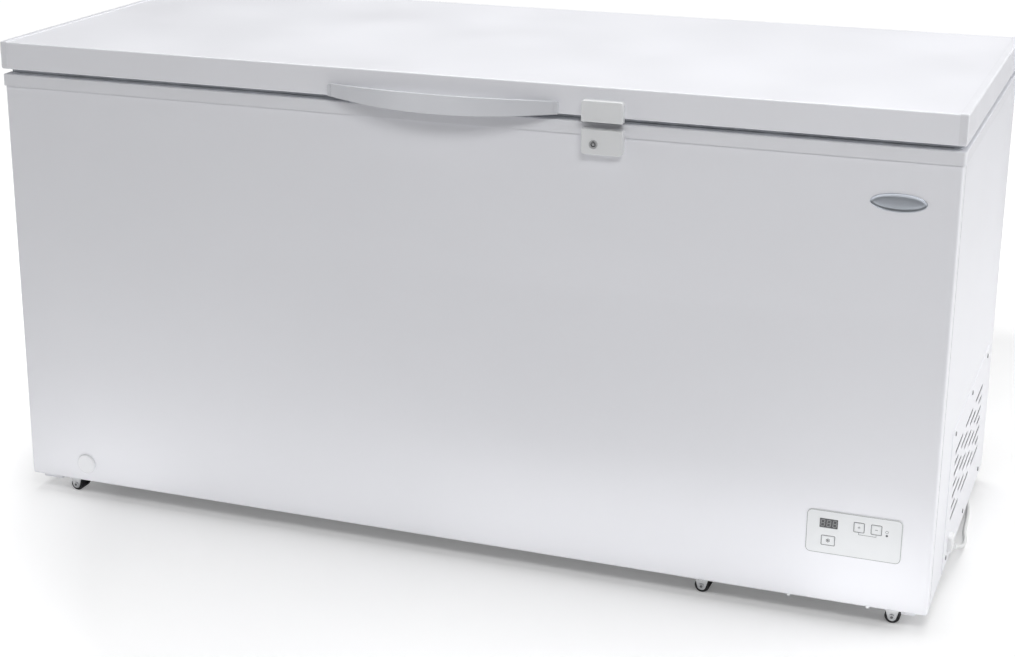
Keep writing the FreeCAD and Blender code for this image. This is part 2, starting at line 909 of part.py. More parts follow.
def vent_panel():
    y1 = cabinet_depth - vent_back_inset
    x0 = half_width
    x1 = half_width + vent_thickness
    panel = plate_yz(vent_front, y1, base_z + vent_bottom, base_z + vent_top, vent_corner, x0, x1)
    layout = slot_rows_layout()
    r = slot_height / 2
    tools = []
    for row in range(slot_rows):
        z = base_z + vent_bottom + slot_first_row + row * slot_pitch
        for start, length in layout[row % 2]:
            y = vent_front + slot_block_start + start
            tools.append(plate_yz(y, y + length, z - r, z + r, r - 0.01, x0 - 1, x1 + 1))
    tools += [cylinder((x0 - 1, y, z), X_AXIS, vent_screw_hole, 4) for y, z in vent_screw_places()]
    return cut(panel, tools)


def pan_screw(centre, axis, shank_radius, shank, head_radius, head):
    """A flat round head with a cross slot, and a plain shank going the other way."""
    start = V(*centre)
    slot_length, slot_width, slot_start = screw_slot
    body = Part.makeCylinder(head_radius, head, start, axis)
    outer_edges = [e for e in body.Edges if abs((e.CenterOfMass - start).dot(axis) - head) < 1e-5]
    body = body.makeFillet(head * slot_start, outer_edges)
    stem = Part.makeCylinder(shank_radius, shank, start, axis * -1)
    across = axis.cross(Z_AXIS) if abs(axis.z) < 0.5 else X_AXIS
    upright = axis.cross(across)
    body = body.fuse(stem)
    for direction, other in ((across, upright), (upright, across)):
        length = head_radius * slot_length
        width = head_radius * slot_width
        groove = Part.makeBox(length, width, head, V(-length / 2, -width / 2, head * slot_start))
        frame = FreeCAD.Matrix(direction.x, other.x, axis.x, start.x, direction.y, other.y, axis.y, start.y,
                               direction.z, other.z, axis.z, start.z, 0, 0, 0, 1)
        body = body.cut(groove.transformGeometry(frame))
    return body


def hinge_screw_places():
    places = []
    for side in (-1, 1):
        for dx in (-hinge_screw_aside, hinge_screw_aside):
            for z in (hinge_bottom + hinge_screw_low, hinge_bottom + hinge_screw_high):
                places.append((side * hinge_offset + dx, z))
    return places


def fasteners():
    x = half_width + vent_thickness
    shank, length, head, height = vent_screw
    screws = [pan_screw((x, y, z), X_AXIS, shank, length, head, height) for y, z in vent_screw_places()]
    y = cabinet_depth + hinge_sheet
    shank, head, height = hinge_screw
    length = hinge_sheet + sheet
    places = hinge_screw_places()
    screws += [pan_screw((px, y, pz), Y_AXIS, shank, length, head, height) for px, pz in places]
    radius, height = plate_bolt_head
    for px, py in plate_bolt_places():
        head = cylinder((px, py, plate_bottom - height), Z_AXIS, radius, height)
        head = round_rim(head, height / 3, "z", plate_bottom - height)
        length = plate_thickness + sheet + plate_bolt_end
        stem = cylinder((px, py, plate_bottom - 1), Z_AXIS, plate_bolt_radius, 1 + length)
        screws.append(head.fuse(stem))
    radius, height = mount_bolt_head
    nut_radius, nut_height = mount_nut
    foot_top = foot_z + foot_thickness
    for px, py in compressor_mount_places():
        z0 = plate_bottom - height
        head = cylinder((px, py, z0), Z_AXIS, radius, height)
        stem = cylinder((px, py, z0), Z_AXIS, mount_bolt, foot_top + mount_bolt_end - z0)
        nut = cylinder((px, py, foot_top), Z_AXIS, nut_radius, nut_height)
        screws.append(fuse([head, stem, nut]))
    return Part.makeCompound(screws)


# ---- base ----
def plate_x_range():
    return compartment_x - plate_overlap, half_width - bottom_flange - plate_side_gap


def plate_bolt_places():
    x0, x1 = plate_x_range()
    ys = (plate_bolt_inset, cabinet_depth - plate_bolt_inset)
    return [(x0 + (x1 - x0) * share, y) for share in plate_bolts for y in ys]


def compressor_plate():
    x0, x1 = plate_x_range()
    plate = box(x0, x1, plate_front, cabinet_depth - plate_front, plate_bottom, base_z)
    return cut(plate, plate_bolt_holes() + mount_holes(plate_bottom - 1, 5))


def rail(x0, x1, top):
    """Folded channel, open upwards, with closed ends."""
    y0 = rail_end
    y1 = cabinet_depth - y0
    z0 = base_z - rail_depth
    outer = box(x0, x1, y0, y1, z0, top)
    gap = rail_sheet
    return outer.cut(box(x0 + gap, x1 - gap, y0 + gap, y1 - gap, z0 + gap, top + 1))


def base_rails():
    left = rail(-half_width + left_rail[0], -half_width + left_rail[1], base_z)
    right = rail(half_width - right_rail[1], half_width - right_rail[0], plate_bottom)
    return Part.makeCompound([left, right])


# ---- casters ----
def caster_places():
    xs = [
        (-half_width + caster_left_inset, base_z + sheet),
        (compartment_x + caster_middle_inset, plate_bottom),
        (half_width - caster_right_inset, plate_bottom),
    ]
    ys = (caster_front_inset, cabinet_depth - caster_front_inset)
    return [(x, y, top) for x, top in xs for y in ys]


def fork_plate(x, y0, y1, top):
    """Side of the fork: straight edges that run tangent into a round end about the axle."""
    half = fork_top_width / 2
    rise = top - wheel_z
    spread = math.atan2(half, rise)
    touch = spread + math.acos(fork_round / math.hypot(half, rise))
    dx = fork_round * math.sin(touch)
    dz = fork_round * math.cos(touch)
    edges = [
        Part.LineSegment(V(x - half, y0, top), V(x + half, y0, top)).toShape(),
        Part.LineSegment(V(x + half, y0, top), V(x + dx, y0, wheel_z + dz)).toShape(),
        Part.Arc(V(x + dx, y0, wheel_z + dz), V(x, y0, wheel_z - fork_round),
                 V(x - dx, y0, wheel_z + dz)).toShape(),
        Part.LineSegment(V(x - dx, y0, wheel_z + dz), V(x - half, y0, top)).toShape(),
    ]
    return Part.Face(Part.Wire(edges)).extrude(V(0, y1 - y0, 0))


def caster_bracket(x, y, top):
    inner = wheel_width / 2 + wheel_side_gap
    outer = inner + fork_sheet
    half = caster_plate_half
    plate = box(x - half, x + half, y - outer, y + outer, top - caster_plate_thickness, top)
    front = fork_plate(x, y - outer, y - inner, top)
    back = fork_plate(x, y + inner, y + outer, top)
    hole = cylinder((x, y - outer - 1, wheel_z), Y_AXIS, axle_radius + axle_fit, 2 * outer + 2)
    return fuse([plate, front, back]).cut(hole)


def caster_axle(x, y):
    """Pin with a domed, hollow riveted head at each end."""
    hollow, depth = rivet_hollow
    half = wheel_width / 2 + wheel_side_gap + fork_sheet
    end = half + rivet_height
    pin = cylinder((x, y - half, wheel_z), Y_AXIS, axle_radius, 2 * half)
    front = cylinder((x, y - end, wheel_z), Y_AXIS, rivet_radius, rivet_height)
    front = round_rim(front, rivet_round, "y", y - end)
    back = cylinder((x, y + half, wheel_z), Y_AXIS, rivet_radius, rivet_height)
    back = round_rim(back, rivet_round, "y", y + end)
    hollows = [cylinder((x, y - end, wheel_z), Y_AXIS, hollow, depth),
               cylinder((x, y + end - depth, wheel_z), Y_AXIS, hollow, depth)]
    return cut(fuse([pin, front, back]), hollows)


def caster_wheel(x, y):
    half = wheel_width / 2
    edge = wheel_edge
    rim = wheel_radius
    points = [(0, -half, axle_radius + axle_clearance), (0, -half, rim - edge), (0, -half + edge, rim),
              (0, half - edge, rim), (0, half, rim - edge), (0, half, axle_radius + axle_clearance)]
    face = Part.Face(Part.makePolygon([V(*p) for p in points] + [V(*points[0])]))
    wheel = face.revolve(V(0, 0, 0), Y_AXIS, 360)
    wheel.translate(V(x, y, wheel_z))
    return wheel


# ---- refrigeration ----
def compressor_mount_places():
    return [(compressor_x + sx * mount_span[0], compressor_y + sy * mount_span[1])
            for sx in (-1, 1) for sy in (-1, 1)]


def mount_holes(z, length):
    """Holes for the bolts through the compressor's feet."""
    radius = mount_bolt + bolt_clearance
    return [cylinder((x, y, z), Z_AXIS, radius, length) for x, y in compressor_mount_places()]


def compressor():
    """Hermetic shell with a welded belt, a foot plate, a terminal block and two tube stubs."""
    cx = compressor_x
    cy = compressor_y
    r = compressor_radius
    h = compressor_height
    shell = Part.makeCylinder(r, h, V(cx, cy, shell_z))
    shell = fillet_where(shell, compressor_round_low, lambda e: flat_at(e, "z", shell_z))
    shell = fillet_where(shell, compressor_round_top, lambda e: flat_at(e, "z", shell_z + h))
    belt_z = shell_z + h / 2
    belt = Part.makeCylinder(r + compressor_belt, compressor_belt_height, V(cx, cy, belt_z))
    for z in (belt_z, belt_z + compressor_belt_height):
        belt = round_rim(belt, compressor_belt_round, "z", z)
    half_x = mount_span[0] + foot_margin
    half_y = mount_span[1] + foot_margin
    foot_top = foot_z + foot_thickness
    foot = plan_box(cx - half_x, cx + half_x, cy - half_y, cy + half_y, foot_z, foot_top, foot_margin)
    holes = mount_holes(foot_z - 1, foot_thickness + 2)
    root = cy + r - stub_root
    stubs = [cylinder((cx + dx, root, stub_z), Y_AXIS, stub_radius, stub_y - root)
             for dx in (-stub_offset, stub_offset)]
    half, reach, low, high = terminal
    block = box(cx - half, cx + half, cy - r - reach, cy - r + reach, shell_z + low, shell_z + high)
    return cut(fuse([shell, belt, foot, block] + stubs), holes)


def compressor_mounts():
    """Four rubber sleeves under the compressor's foot."""
    mounts = []
    for x, y in compressor_mount_places():
        sleeve = Part.makeCylinder(mount_radius, mount_height, V(x, y, base_z))
        bore = cylinder((x, y, base_z - 1), Z_AXIS, mount_bolt + bolt_clearance, mount_height + 2)
        mounts.append(sleeve.cut(bore))
    return Part.makeCompound(mounts)


def start_relay():
    """Relay and overload box clipped over the compressor's terminals."""
    half, depth, low, high = relay
    y1 = compressor_y - compressor_radius - terminal[1]
    x0 = compressor_x - half
    x1 = compressor_x + half
    body = plate_xz(x0, x1, shell_z + low, shell_z + high, relay_corner, y1 - depth, y1)
    return fillet_where(body, relay_round, lambda e: flat_at(e, "y", y1 - depth))


def fan_shroud():
    """Square plate with a round throat, a foot on the compressor plate and four arms for the motor."""
    x = fan_plate_x
    half = fan_opening + shroud_margin
    t = shroud_sheet
    plate = plate_yz(fan_y - half, fan_y + half, fan_z - half, fan_z + half, shroud_corner, x, x + t)
    throat = cylinder((x + t - shroud_depth, fan_y, fan_z), X_AXIS, fan_opening + t, shroud_depth)
    bore = cylinder((x - shroud_depth, fan_y, fan_z), X_AXIS, fan_opening, shroud_depth + 2 * t)
    y0 = fan_y - half + shroud_leg_inset
    y1 = fan_y + half - shroud_leg_inset
    foot = box(x - shroud_foot, x + t, y0, y1, base_z, base_z + t)
    leg = box(x, x + t, y0, y1, base_z, fan_z - half + shroud_leg_inset)
    arm_x = x - motor_arm_gap - t
    arm_y0 = fan_y - motor_arm_half
    arm_y1 = fan_y + motor_arm_half
    arm_end = fan_z + fan_opening + shroud_corner
    arms = []
    for angle in (45, 135, 225, 315):
        arm = box(arm_x, arm_x + t, arm_y0, arm_y1, fan_z + motor_radius - motor_arm_half, arm_end)
        post = box(arm_x, x + t / 2, arm_y0, arm_y1, fan_z + fan_opening + motor_arm_lap, arm_end)
        both = arm.fuse(post)
        both.rotate(V(x, fan_y, fan_z), X_AXIS, angle)
        arms.append(both)
    carrier = cylinder((arm_x, fan_y, fan_z), X_AXIS, motor_radius + motor_rim, t)
    frame = fuse([plate.fuse(throat).cut(bore), foot, leg, carrier] + arms)
    return frame.cut(cylinder((arm_x - 1, fan_y, fan_z), X_AXIS, 2 * fan_shaft, t + 2))


def fan_motor():
    x1 = fan_plate_x - motor_arm_gap - shroud_sheet
    x0 = x1 - motor_length
    body = cylinder((x0, fan_y, fan_z), X_AXIS, motor_radius, motor_length)
    body = round_rim(body, motor_round, "x", x0)
    shaft = cylinder((x1 - 1, fan_y, fan_z), X_AXIS, fan_shaft, fan_hub_width + fan_shaft_end)
    return body.fuse(shaft)


def fan_blade():
    """Hub with pitched blades, turning on the motor's shaft."""
    x0 = fan_plate_x - motor_arm_gap + fan_hub_gap
    width = fan_hub_width
    hub = cylinder((x0, fan_y, fan_z), X_AXIS, fan_hub, width)
    blades = []
    for i in range(fan_blades):
        thin = blade_half_thickness
        blade = box(-thin, thin, -blade_half_chord, blade_half_chord, fan_hub - 4, fan_radius + 1)
        blade.rotate(V(0, 0, 0), Z_AXIS, fan_pitch)
        blade.translate(V(x0 + width / 2, fan_y, fan_z))
        blade.rotate(V(x0, fan_y, fan_z), X_AXIS, 360 * i / fan_blades)
        blades.append(blade)
    limit = cylinder((x0, fan_y, fan_z), X_AXIS, fan_radius, width)
    solid = fuse([hub] + blades).common(limit)
    return solid.cut(cylinder((x0 - 1, fan_y, fan_z), X_AXIS, fan_shaft + axle_clearance, width + 2))


def condenser_levels():
    return [base_z + condenser_bottom + i * condenser_row_pitch for i in range(condenser_rows)]


def condenser_path():
    """Serpentine up one column and down the other, both ends at the bottom in front."""
    levels = condenser_levels()
    points = []
    for x, order in ((condenser_x, levels), (condenser_x + condenser_column_gap, levels[::-1])):
        for i, z in enumerate(order):
            ends = (condenser_front, condenser_back) if i % 2 == 0 else (condenser_back, condenser_front)
            points += [(x, ends[0], z), (x, ends[1], z)]
    points[0] = (points[0][0], points[0][1] - condenser_tail, points[0][2])
    points[-1] = (points[-1][0], points[-1][1] - condenser_tail, points[-1][2])
    return points


def condenser_tube():
    points = condenser_path()
    radii = [condenser_row_pitch / 2 - condenser_bend_gap] * len(points)
    for i in (2 * condenser_rows - 1, 2 * condenser_rows):
        radii[i] = condenser_column_gap / 2 - condenser_bend_gap
    radii[0] = 0
    radii[-1] = 0
    return tube_along(points, radii, condenser_tube_radius)


def condenser_fin_stack():
    """Fins threaded on the tube; the two end plates stand on the compressor plate."""
    x0 = condenser_x - fin_edge
    x1 = condenser_x + condenser_column_gap + fin_edge
    levels = condenser_levels()
    z0 = levels[0] - fin_edge
    z1 = levels[-1] + fin_edge
    r = condenser_tube_radius + fin_hole_clearance
    columns = (condenser_x, condenser_x + condenser_column_gap)
    holes = [cylinder((x, -1, z), Y_AXIS, r, 5) for z in levels for x in columns]
    fin = cut(box(x0, x1, 0, fin_sheet, z0, z1), holes)
    end = cut(box(x0, x1, 0, fin_plate_sheet, base_z, z1), holes)
    pieces = []
    start = condenser_front + fin_end
    span = condenser_length - 2 * fin_end
    for i in range(condenser_fins):
        copy = fin.copy()
        copy.translate(V(0, start + span * i / (condenser_fins - 1), 0))
        pieces.append(copy)
    front_y = condenser_front + fin_plate_end
    back_y = condenser_back - fin_plate_end - fin_plate_sheet
    for y, side in ((front_y, -1), (back_y, 1)):
        plate = end.copy()
        plate.translate(V(0, y, 0))
        foot_y = y - fin_foot if side < 0 else y + fin_plate_sheet
        foot = box(x0, x1, foot_y, foot_y + fin_foot, base_z, base_z + fin_plate_sheet)
        pieces.append(plate.fuse(foot))
    return Part.makeCompound(pieces)


def filter_drier():
    y0, y1 = drier_y
    z = condenser_levels()[0]
    neck = discharge_radius + drier_neck
    body = cylinder((drier_x, y0 + drier_cone, z), Y_AXIS, drier_radius, y1 - y0 - 2 * drier_cone)
    front = Part.makeCone(neck, drier_radius, drier_cone, V(drier_x, y0, z), Y_AXIS)
    back = Part.makeCone(drier_radius, neck, drier_cone, V(drier_x, y1 - drier_cone, z), Y_AXIS)
    return fuse([body, front, back])


def refrigerant_pipes():
    """Suction and discharge pipes, and the liquid pipe before and after the drier."""
    xa, ya, za = condenser_path()[0]
    xb, yb, zb = condenser_path()[-1]
    back_y = stub_y + pipe_behind_stubs
    inlet_x = compartment_x + pipe_inlet_offset
    high = compartment_top - pipe_below_ceiling
    across_y = yb - discharge_ahead
    suction = [(compressor_x - stub_offset, stub_y, stub_z), (compressor_x - stub_offset, back_y, stub_z),
               (inlet_x, back_y, stub_z), (inlet_x, suction_y, suction_z),
               (compartment_x + pipe_stub, suction_y, suction_z)]
    discharge = [(compressor_x + stub_offset, stub_y, stub_z), (compressor_x + stub_offset, back_y, stub_z),
                 (compressor_x + stub_offset, back_y, high), (compressor_x + stub_offset, across_y, high),
                 (xb, across_y, high), (xb, across_y, zb), (xb, yb, zb)]
    ahead = ya - liquid_ahead
    liquid = [(xa, ya, za), (xa, ahead, za), (drier_x, ahead, za), (drier_x, drier_y[1], za)]
    feed_z = high + feed_rise
    feed_end = compartment_top - pipe_stub
    feed = [(drier_x, drier_y[0], za), (drier_x, feed_y, za), (liquid_x, feed_y, za),
            (liquid_x, feed_y, feed_z), (liquid_x, evaporator_back, feed_z),
            (liquid_x, evaporator_back, feed_end)]
    pipes = []
    for points, radius in ((suction, suction_radius), (discharge, discharge_radius),
                           (liquid, discharge_radius), (feed, capillary_radius)):
        pipes.append(tube_along(points, [0] + [pipe_bend] * (len(points) - 2) + [0], radius))
    return Part.makeCompound(pipes)


# ---- controls ----
def control_window(bounds, clearance, y0, y1, radius):
    """A block at a place given from the control panel's lower left corner."""
    x0 = control_x + bounds[0] - clearance
    x1 = control_x + bounds[1] + clearance
    z0 = control_z + bounds[2] - clearance
    z1 = control_z + bounds[3] + clearance
    return plate_xz(x0, x1, z0, z1, radius, y0, y1)


def control_overlay():
    plate = control_window(control_face, 0.0, -control_proud, 0.0, control_corner)
    plate = fillet_where(plate, control_round, lambda e: flat_at(e, "y", -control_proud))
    tools = [control_window(display_box, window_gap, -5, 5, control_window_corner)]
    tools += [control_window(b, key_clearance, -5, 5, key_hole_corner) for b in key_boxes.values()]
    return cut(plate, tools)


def control_housing():
    """Box behind the front panel that holds the board, closed at the back."""
    y1 = sheet + housing_depth
    w = housing_wall
    outer = control_window(control_face, housing_margin, sheet, y1, housing_margin)
    inner = control_window(control_face, housing_margin - w, sheet - 1, y1 - w, housing_margin - w)
    shelf_y = board_depth + board_thickness
    post = housing_post
    near = housing_post_inset
    far = near + post
    posts = [box(x, x + post, shelf_y, y1 - w, z, z + post)
             for x in (control_x + near, control_x + control_width - far)
             for z in (control_z + near, control_z + control_height - far)]
    return fuse([outer.cut(inner)] + posts)


def display_board():
    """Circuit board with the display and one switch behind each key."""
    lap = board_depth + board_lap
    face = -control_proud + display_recess
    back = board_depth + board_thickness
    pieces = [control_window(control_face, -board_inset, board_depth, back, board_inset),
              control_window(display_box, 0.0, face, lap, display_corner)]
    for x0, x1, z0, z1 in key_boxes.values():
        cx = (x0 + x1) / 2
        cz = (z0 + z1) / 2
        y0 = key_back() + key_travel + switch_gap
        pieces.append(control_window((cx, cx, cz, cz), switch_half, y0, lap, switch_corner))
    return fuse(pieces)


def key_back():
    return -control_proud - key_proud + key_depth


def key(bounds):
    y0 = -control_proud - key_proud
    cap = control_window(bounds, 0.0, y0, key_back(), key_corner)
    return fillet_where(cap, key_round, lambda e: flat_at(e, "y", y0))


# ---- drain ----
def drain_route():
    z = base_z + drain_height
    return [(drain_x, drain_depth, tub_floor - tub_sheet), (drain_x, drain_depth, z), (drain_x, sheet, z)]


def drain_tube(bore=drain_bore):
    return tube_along(drain_route(), [0, drain_bend, 0], drain_bore + drain_wall, bore)


def drain_cap():
    """Domed cap on the front, its stem in the drain tube."""
    z = base_z + drain_height
    x = drain_x
    disc = cylinder((x, -drain_cap_height, z), Y_AXIS, drain_cap_radius, drain_cap_height)
    disc = round_rim(disc, drain_cap_round, "y", -drain_cap_height)
    stem = cylinder((x, -1, z), Y_AXIS, drain_bore - drain_stem_clearance, drain_stem_length + 1)
    return disc.fuse(stem)


def drain_plug():
    """Stopper in the tub's floor, with a tab to pull it out by."""
    x = drain_x
    y = drain_depth
    z1 = tub_floor + drain_plug_height
    disc = cylinder((x, y, tub_floor), Z_AXIS, drain_bore + drain_plug_flange, drain_plug_height)
    disc = round_rim(disc, drain_plug_round, "z", z1)
    low = tub_floor - drain_plug_stem
    stem = cylinder((x, y, low), Z_AXIS, drain_bore - drain_stem_clearance, drain_plug_stem + 1)
    half = drain_tab_half
    thin = drain_tab_thickness / 2
    z0 = tub_floor + drain_plug_height / 2
    tab = plate_xz(x - half, x + half, z0, tub_floor + drain_tab_top, drain_tab_corner, y - thin, y + thin)
    return fuse([disc, stem, tab])


# ---- lid ----
def lid_profile(inset, radius, x0, x1):
    y0 = lid_front + inset
    y1 = lid_back - inset
    points = [(x0, y0, lid_bottom + inset), (x0, y1, lid_bottom + inset),
              (x0, y1, lid_sheet_top - inset), (x0, y0, lid_sheet_top - inset)]
    return prism(points, [radius] * 4, V(x1 - x0, 0, 0))


def lid_shell():
    """Painted sheet folded round the lid, open in the middle underneath."""
    x = lid_half - cap_width
    outer = lid_profile(0.0, lid_bend, -x, x)
    inner = lid_profile(sheet, lid_bend - sheet, -x - 1, x + 1)
    y0 = lid_front + lid_flange
    mouth = box(-x - 1, x + 1, y0, lid_back - lid_flange, lid_bottom - 1, lid_bottom + 2)
    return cut(outer, [inner, mouth])


def lid_end_cap(side):
    """Moulded cap with a tongue that fits inside the folded sheet."""
    x0 = lid_half - cap_width
    y0 = lid_front - cap_front_proud
    y1 = lid_back + cap_front_proud
    cap = box(x0, lid_half, y0, y1, lid_bottom, lid_sheet_top + cap_proud)

    def rounded(e):
        if flat_at(e, "x", lid_half):
            return True
        upright = flat_at(e, "y", y0) or flat_at(e, "y", y1)
        return upright and not flat_at(e, "x", x0) and e.Length < cap_width + 1

    cap = fillet_where(cap, cap_edge, rounded)
    tip = x0 - cap_tongue
    tongue = lid_profile(sheet + cap_fit, lid_bend - sheet, tip, x0)
    over_liner = liner_floor + lid_liner_wall + foam_clearance
    tongue = tongue.cut(box(tip - 1, x0, lid_front, lid_back, lid_bottom, over_liner))
    tongue = tongue.cut(lid_profile(sheet + cap_tongue_wall, 1.0, tip - 1, x0 - 2))
    whole = cap.fuse(tongue)
    if side < 0:
        whole = whole.mirror(V(0, 0, 0), X_AXIS)
    return whole


def lid_plug_solid(grow, z0, z1):
    x = half_width - lid_plug_inset + grow
    y0 = lid_plug_inset - grow
    y1 = cabinet_depth - lid_plug_inset + grow
    points = [(-x, y0, z0), (x, y0, z0), (x, y1, z0), (-x, y1, z0)]
    return prism(points, [tub_corner + grow] * 4, V(0, 0, z1 - z0))


def lid_liner():
    """Formed plastic panel that closes the lid underneath and dips into the tub's mouth."""
    t = lid_liner_wall
    x = lid_half - cap_width - lid_liner_end_gap
    y0 = lid_front + lid_bend + foam_clearance
    y1 = lid_back - lid_bend - foam_clearance
    rim = box(-x, x, y0, y1, liner_floor, liner_floor + t)
    dip = lid_plug_solid(0.0, plug_bottom, liner_floor + t)
    hollow = lid_plug_solid(-t, plug_bottom + t, liner_floor + t + 1)
    return rim.fuse(dip).cut(hollow)


def lid_foam():
    gap = foam_clearance
    inset = sheet + gap
    x = lid_half - cap_width - cap_tongue - lid_liner_end_gap
    body = lid_profile(inset, lid_bend - sheet, -x, x)
    body = body.cut(box(-x - 1, x + 1, lid_front, lid_back, lid_bottom, liner_floor + lid_liner_wall + gap))
    dip = lid_plug_solid(-lid_liner_wall - gap, plug_bottom + lid_liner_wall + gap, lid_bottom + 10)
    return body.fuse(dip)


def lid_gasket():
    """Seal with a groove along its outside and its inside, lower where it runs under the end caps."""
    z0 = rim_z + gasket_clearance
    low, high = [z0 + z for z in gasket_groove]
    deep = gasket_groove_depth
    body = ring(gasket_inset, gasket_width, z0, liner_floor, gasket_corner)
    groove = ring(gasket_inset - 1, 1 + deep, low, high, gasket_corner + 1)
    inside = gasket_width - deep
    inner_groove = ring(gasket_inset + inside, deep + 1, low, high, gasket_corner - inside)
    tools = [groove, inner_groove]
    cap_start = lid_half - cap_width - cap_fit
    for x0, x1 in ((-lid_half, -cap_start), (cap_start, lid_half)):
        tools.append(box(x0, x1, lid_front, lid_back, lid_bottom, liner_floor + 1))
    return cut(body, tools)


def bow_outline(z, start_x, start, depth):
    """Closed outline between the lid's face and an arc that bows outwards."""
    y = lid_front
    arc = Part.Arc(V(-start_x, y - start, z), V(0, y - depth, z), V(start_x, y - start, z)).toShape()
    left = Part.LineSegment(V(-start_x, y, z), V(-start_x, y - start, z)).toShape()
    right = Part.LineSegment(V(start_x, y - start, z), V(start_x, y, z)).toShape()
    chord = Part.LineSegment(V(start_x, y, z), V(-start_x, y, z)).toShape()
    return Part.Wire([left, arc, right, chord])


def handle():
    """Bowed grip that leans outwards towards its lower edge, open above and below."""
    half = handle_length / 2
    z1 = lid_bottom + handle_top
    z0 = lid_bottom + handle_bottom - handle_sag
    lean = (handle_bow_bottom - handle_bow_top) / (z1 - z0)
    spare = 2.0

    def grip(half_length, start, thickness):
        low = handle_foot + handle_bow_bottom + lean * spare - thickness
        high = handle_foot + handle_bow_top - lean * spare - thickness
        return Part.makeLoft([bow_outline(z0 - spare, half_length, start, low),
                              bow_outline(z1 + spare, half_length, start, high)], True, True)

    ends = lid_bottom + handle_bottom
    front = lid_front - handle_foot - handle_bow_bottom - 5
    low_edge = Part.Arc(V(-half, front, ends), V(0, front, z0), V(half, front, ends)).toShape()
    sides = rounded_path([(half, front, ends), (half, front, z1), (-half, front, z1), (-half, front, ends)],
                         [0, handle_corner, handle_corner, 0], False)
    view = Part.Face(Part.Wire([low_edge] + sides.Edges)).extrude(V(0, handle_reach + 20, 0))
    outer = grip(half, handle_foot, 0.0)
    inner = grip(half - handle_foot_length, handle_back_gap, handle_wall)
    seam_width, seam_depth = handle_seam
    below_surface = grip(half, handle_foot - seam_depth, seam_depth)
    seams = []
    for middle in (handle_seam_inset - half, half - handle_seam_inset):
        slice_x = box(middle - seam_width / 2, middle + seam_width / 2, front, lid_front, z0 - 1, z1 + 1)
        seams.append(slice_x.cut(below_surface))
    return cut(outer.common(view), [inner] + seams)


def strike_cover():
    """Hollow cover on the lid, open underneath for the lock's tongue."""
    z0 = lid_bottom - strike_drop
    z1 = z0 + strike_height
    y0 = lid_front - lock_proud + lid_front_overhang
    w = lock_wall
    points = [(lock_x0, y0, z0), (lock_x1, y0, z0), (lock_x1, y0, z1), (lock_x0, y0, z1)]
    radii = [strike_low_corner, strike_low_corner, strike_corner, strike_corner]
    outer = prism(points, radii, V(0, lid_front - y0, 0))
    outer = fillet_where(outer, strike_round, lambda e: flat_at(e, "y", y0))
    inner = box(lock_x0 + w, lock_x1 - w, y0 + w, lid_front + 1, z0 - 1, z1 - w)
    back = box(lock_x0 + w, lock_x1 - w, lid_front - strike_back, lid_front, lid_bottom + 1, z1 - w)
    return outer.cut(inner).fuse(back)


# ---- lock on the cabinet ----
def lock_body():
    """Hollow body below the strike, with a slot on top for the tongue and a bore for the cylinder."""
    z0 = rim_z - lock_below_rim
    z1 = z0 + lock_height
    y0 = -lock_proud
    w = lock_wall
    points = [(lock_x0, y0, z0), (lock_x1, y0, z0), (lock_x1, y0, z1), (lock_x0, y0, z1)]
    outer = prism(points, [lock_corner, lock_corner, lock_top_corner, lock_top_corner], V(0, lock_proud, 0))
    outer = fillet_where(outer, lock_round, lambda e: flat_at(e, "y", y0))
    back = -trim_proud - trim_fit
    trim_room = box(lock_x0 - 1, lock_x1 + 1, back, 1, rim_z - trim_height - trim_fit, z1 + 1)
    hollow = box(lock_x0 + w, lock_x1 - w, y0 + w, back, z0 + w, z1 - w)
    bore = cylinder((cylinder_x, y0 - 1, cylinder_z), Y_AXIS, cylinder_radius + turning_clearance, w + 2)
    slot_x = cylinder_x - tongue_width / 2 - tongue_room
    slot_y = tongue_y - tongue_room
    slot = box(slot_x, lock_x1 - w, slot_y, slot_y + tongue_thickness + 2 * tongue_room, z1 - w - 1, z1 + 1)
    return cut(outer, [trim_room, hollow, bore, slot])


def lock_cylinder():
    """Cylinder for a tubular key, with its tongue, which lies flat until the key turns it up."""
    x = cylinder_x
    z = cylinder_z
    y0 = -lock_proud - cylinder_proud
    y1 = tongue_y + tongue_thickness
    barrel = cylinder((x, y0, z), Y_AXIS, cylinder_radius, y1 - y0)
    post_radius, ring_radius = key_ring
    half_notch, notch_reach = key_notch
    key_hole = cylinder((x, y0 - 1, z), Y_AXIS, ring_radius, 1 + key_ring_depth)
    post = cylinder((x, y0 + key_post_drop, z), Y_AXIS, post_radius, key_ring_depth)
    notch = box(x - half_notch, x + half_notch, y0 - 1, y0 + key_ring_depth, z, z + notch_reach)
    half = tongue_width / 2
    tongue = plate_xz(x - half, x + tongue_length, z - half, z + half, half - 0.1, tongue_y, y1)
    return fuse([cut(barrel, [key_hole, notch]), post, tongue])


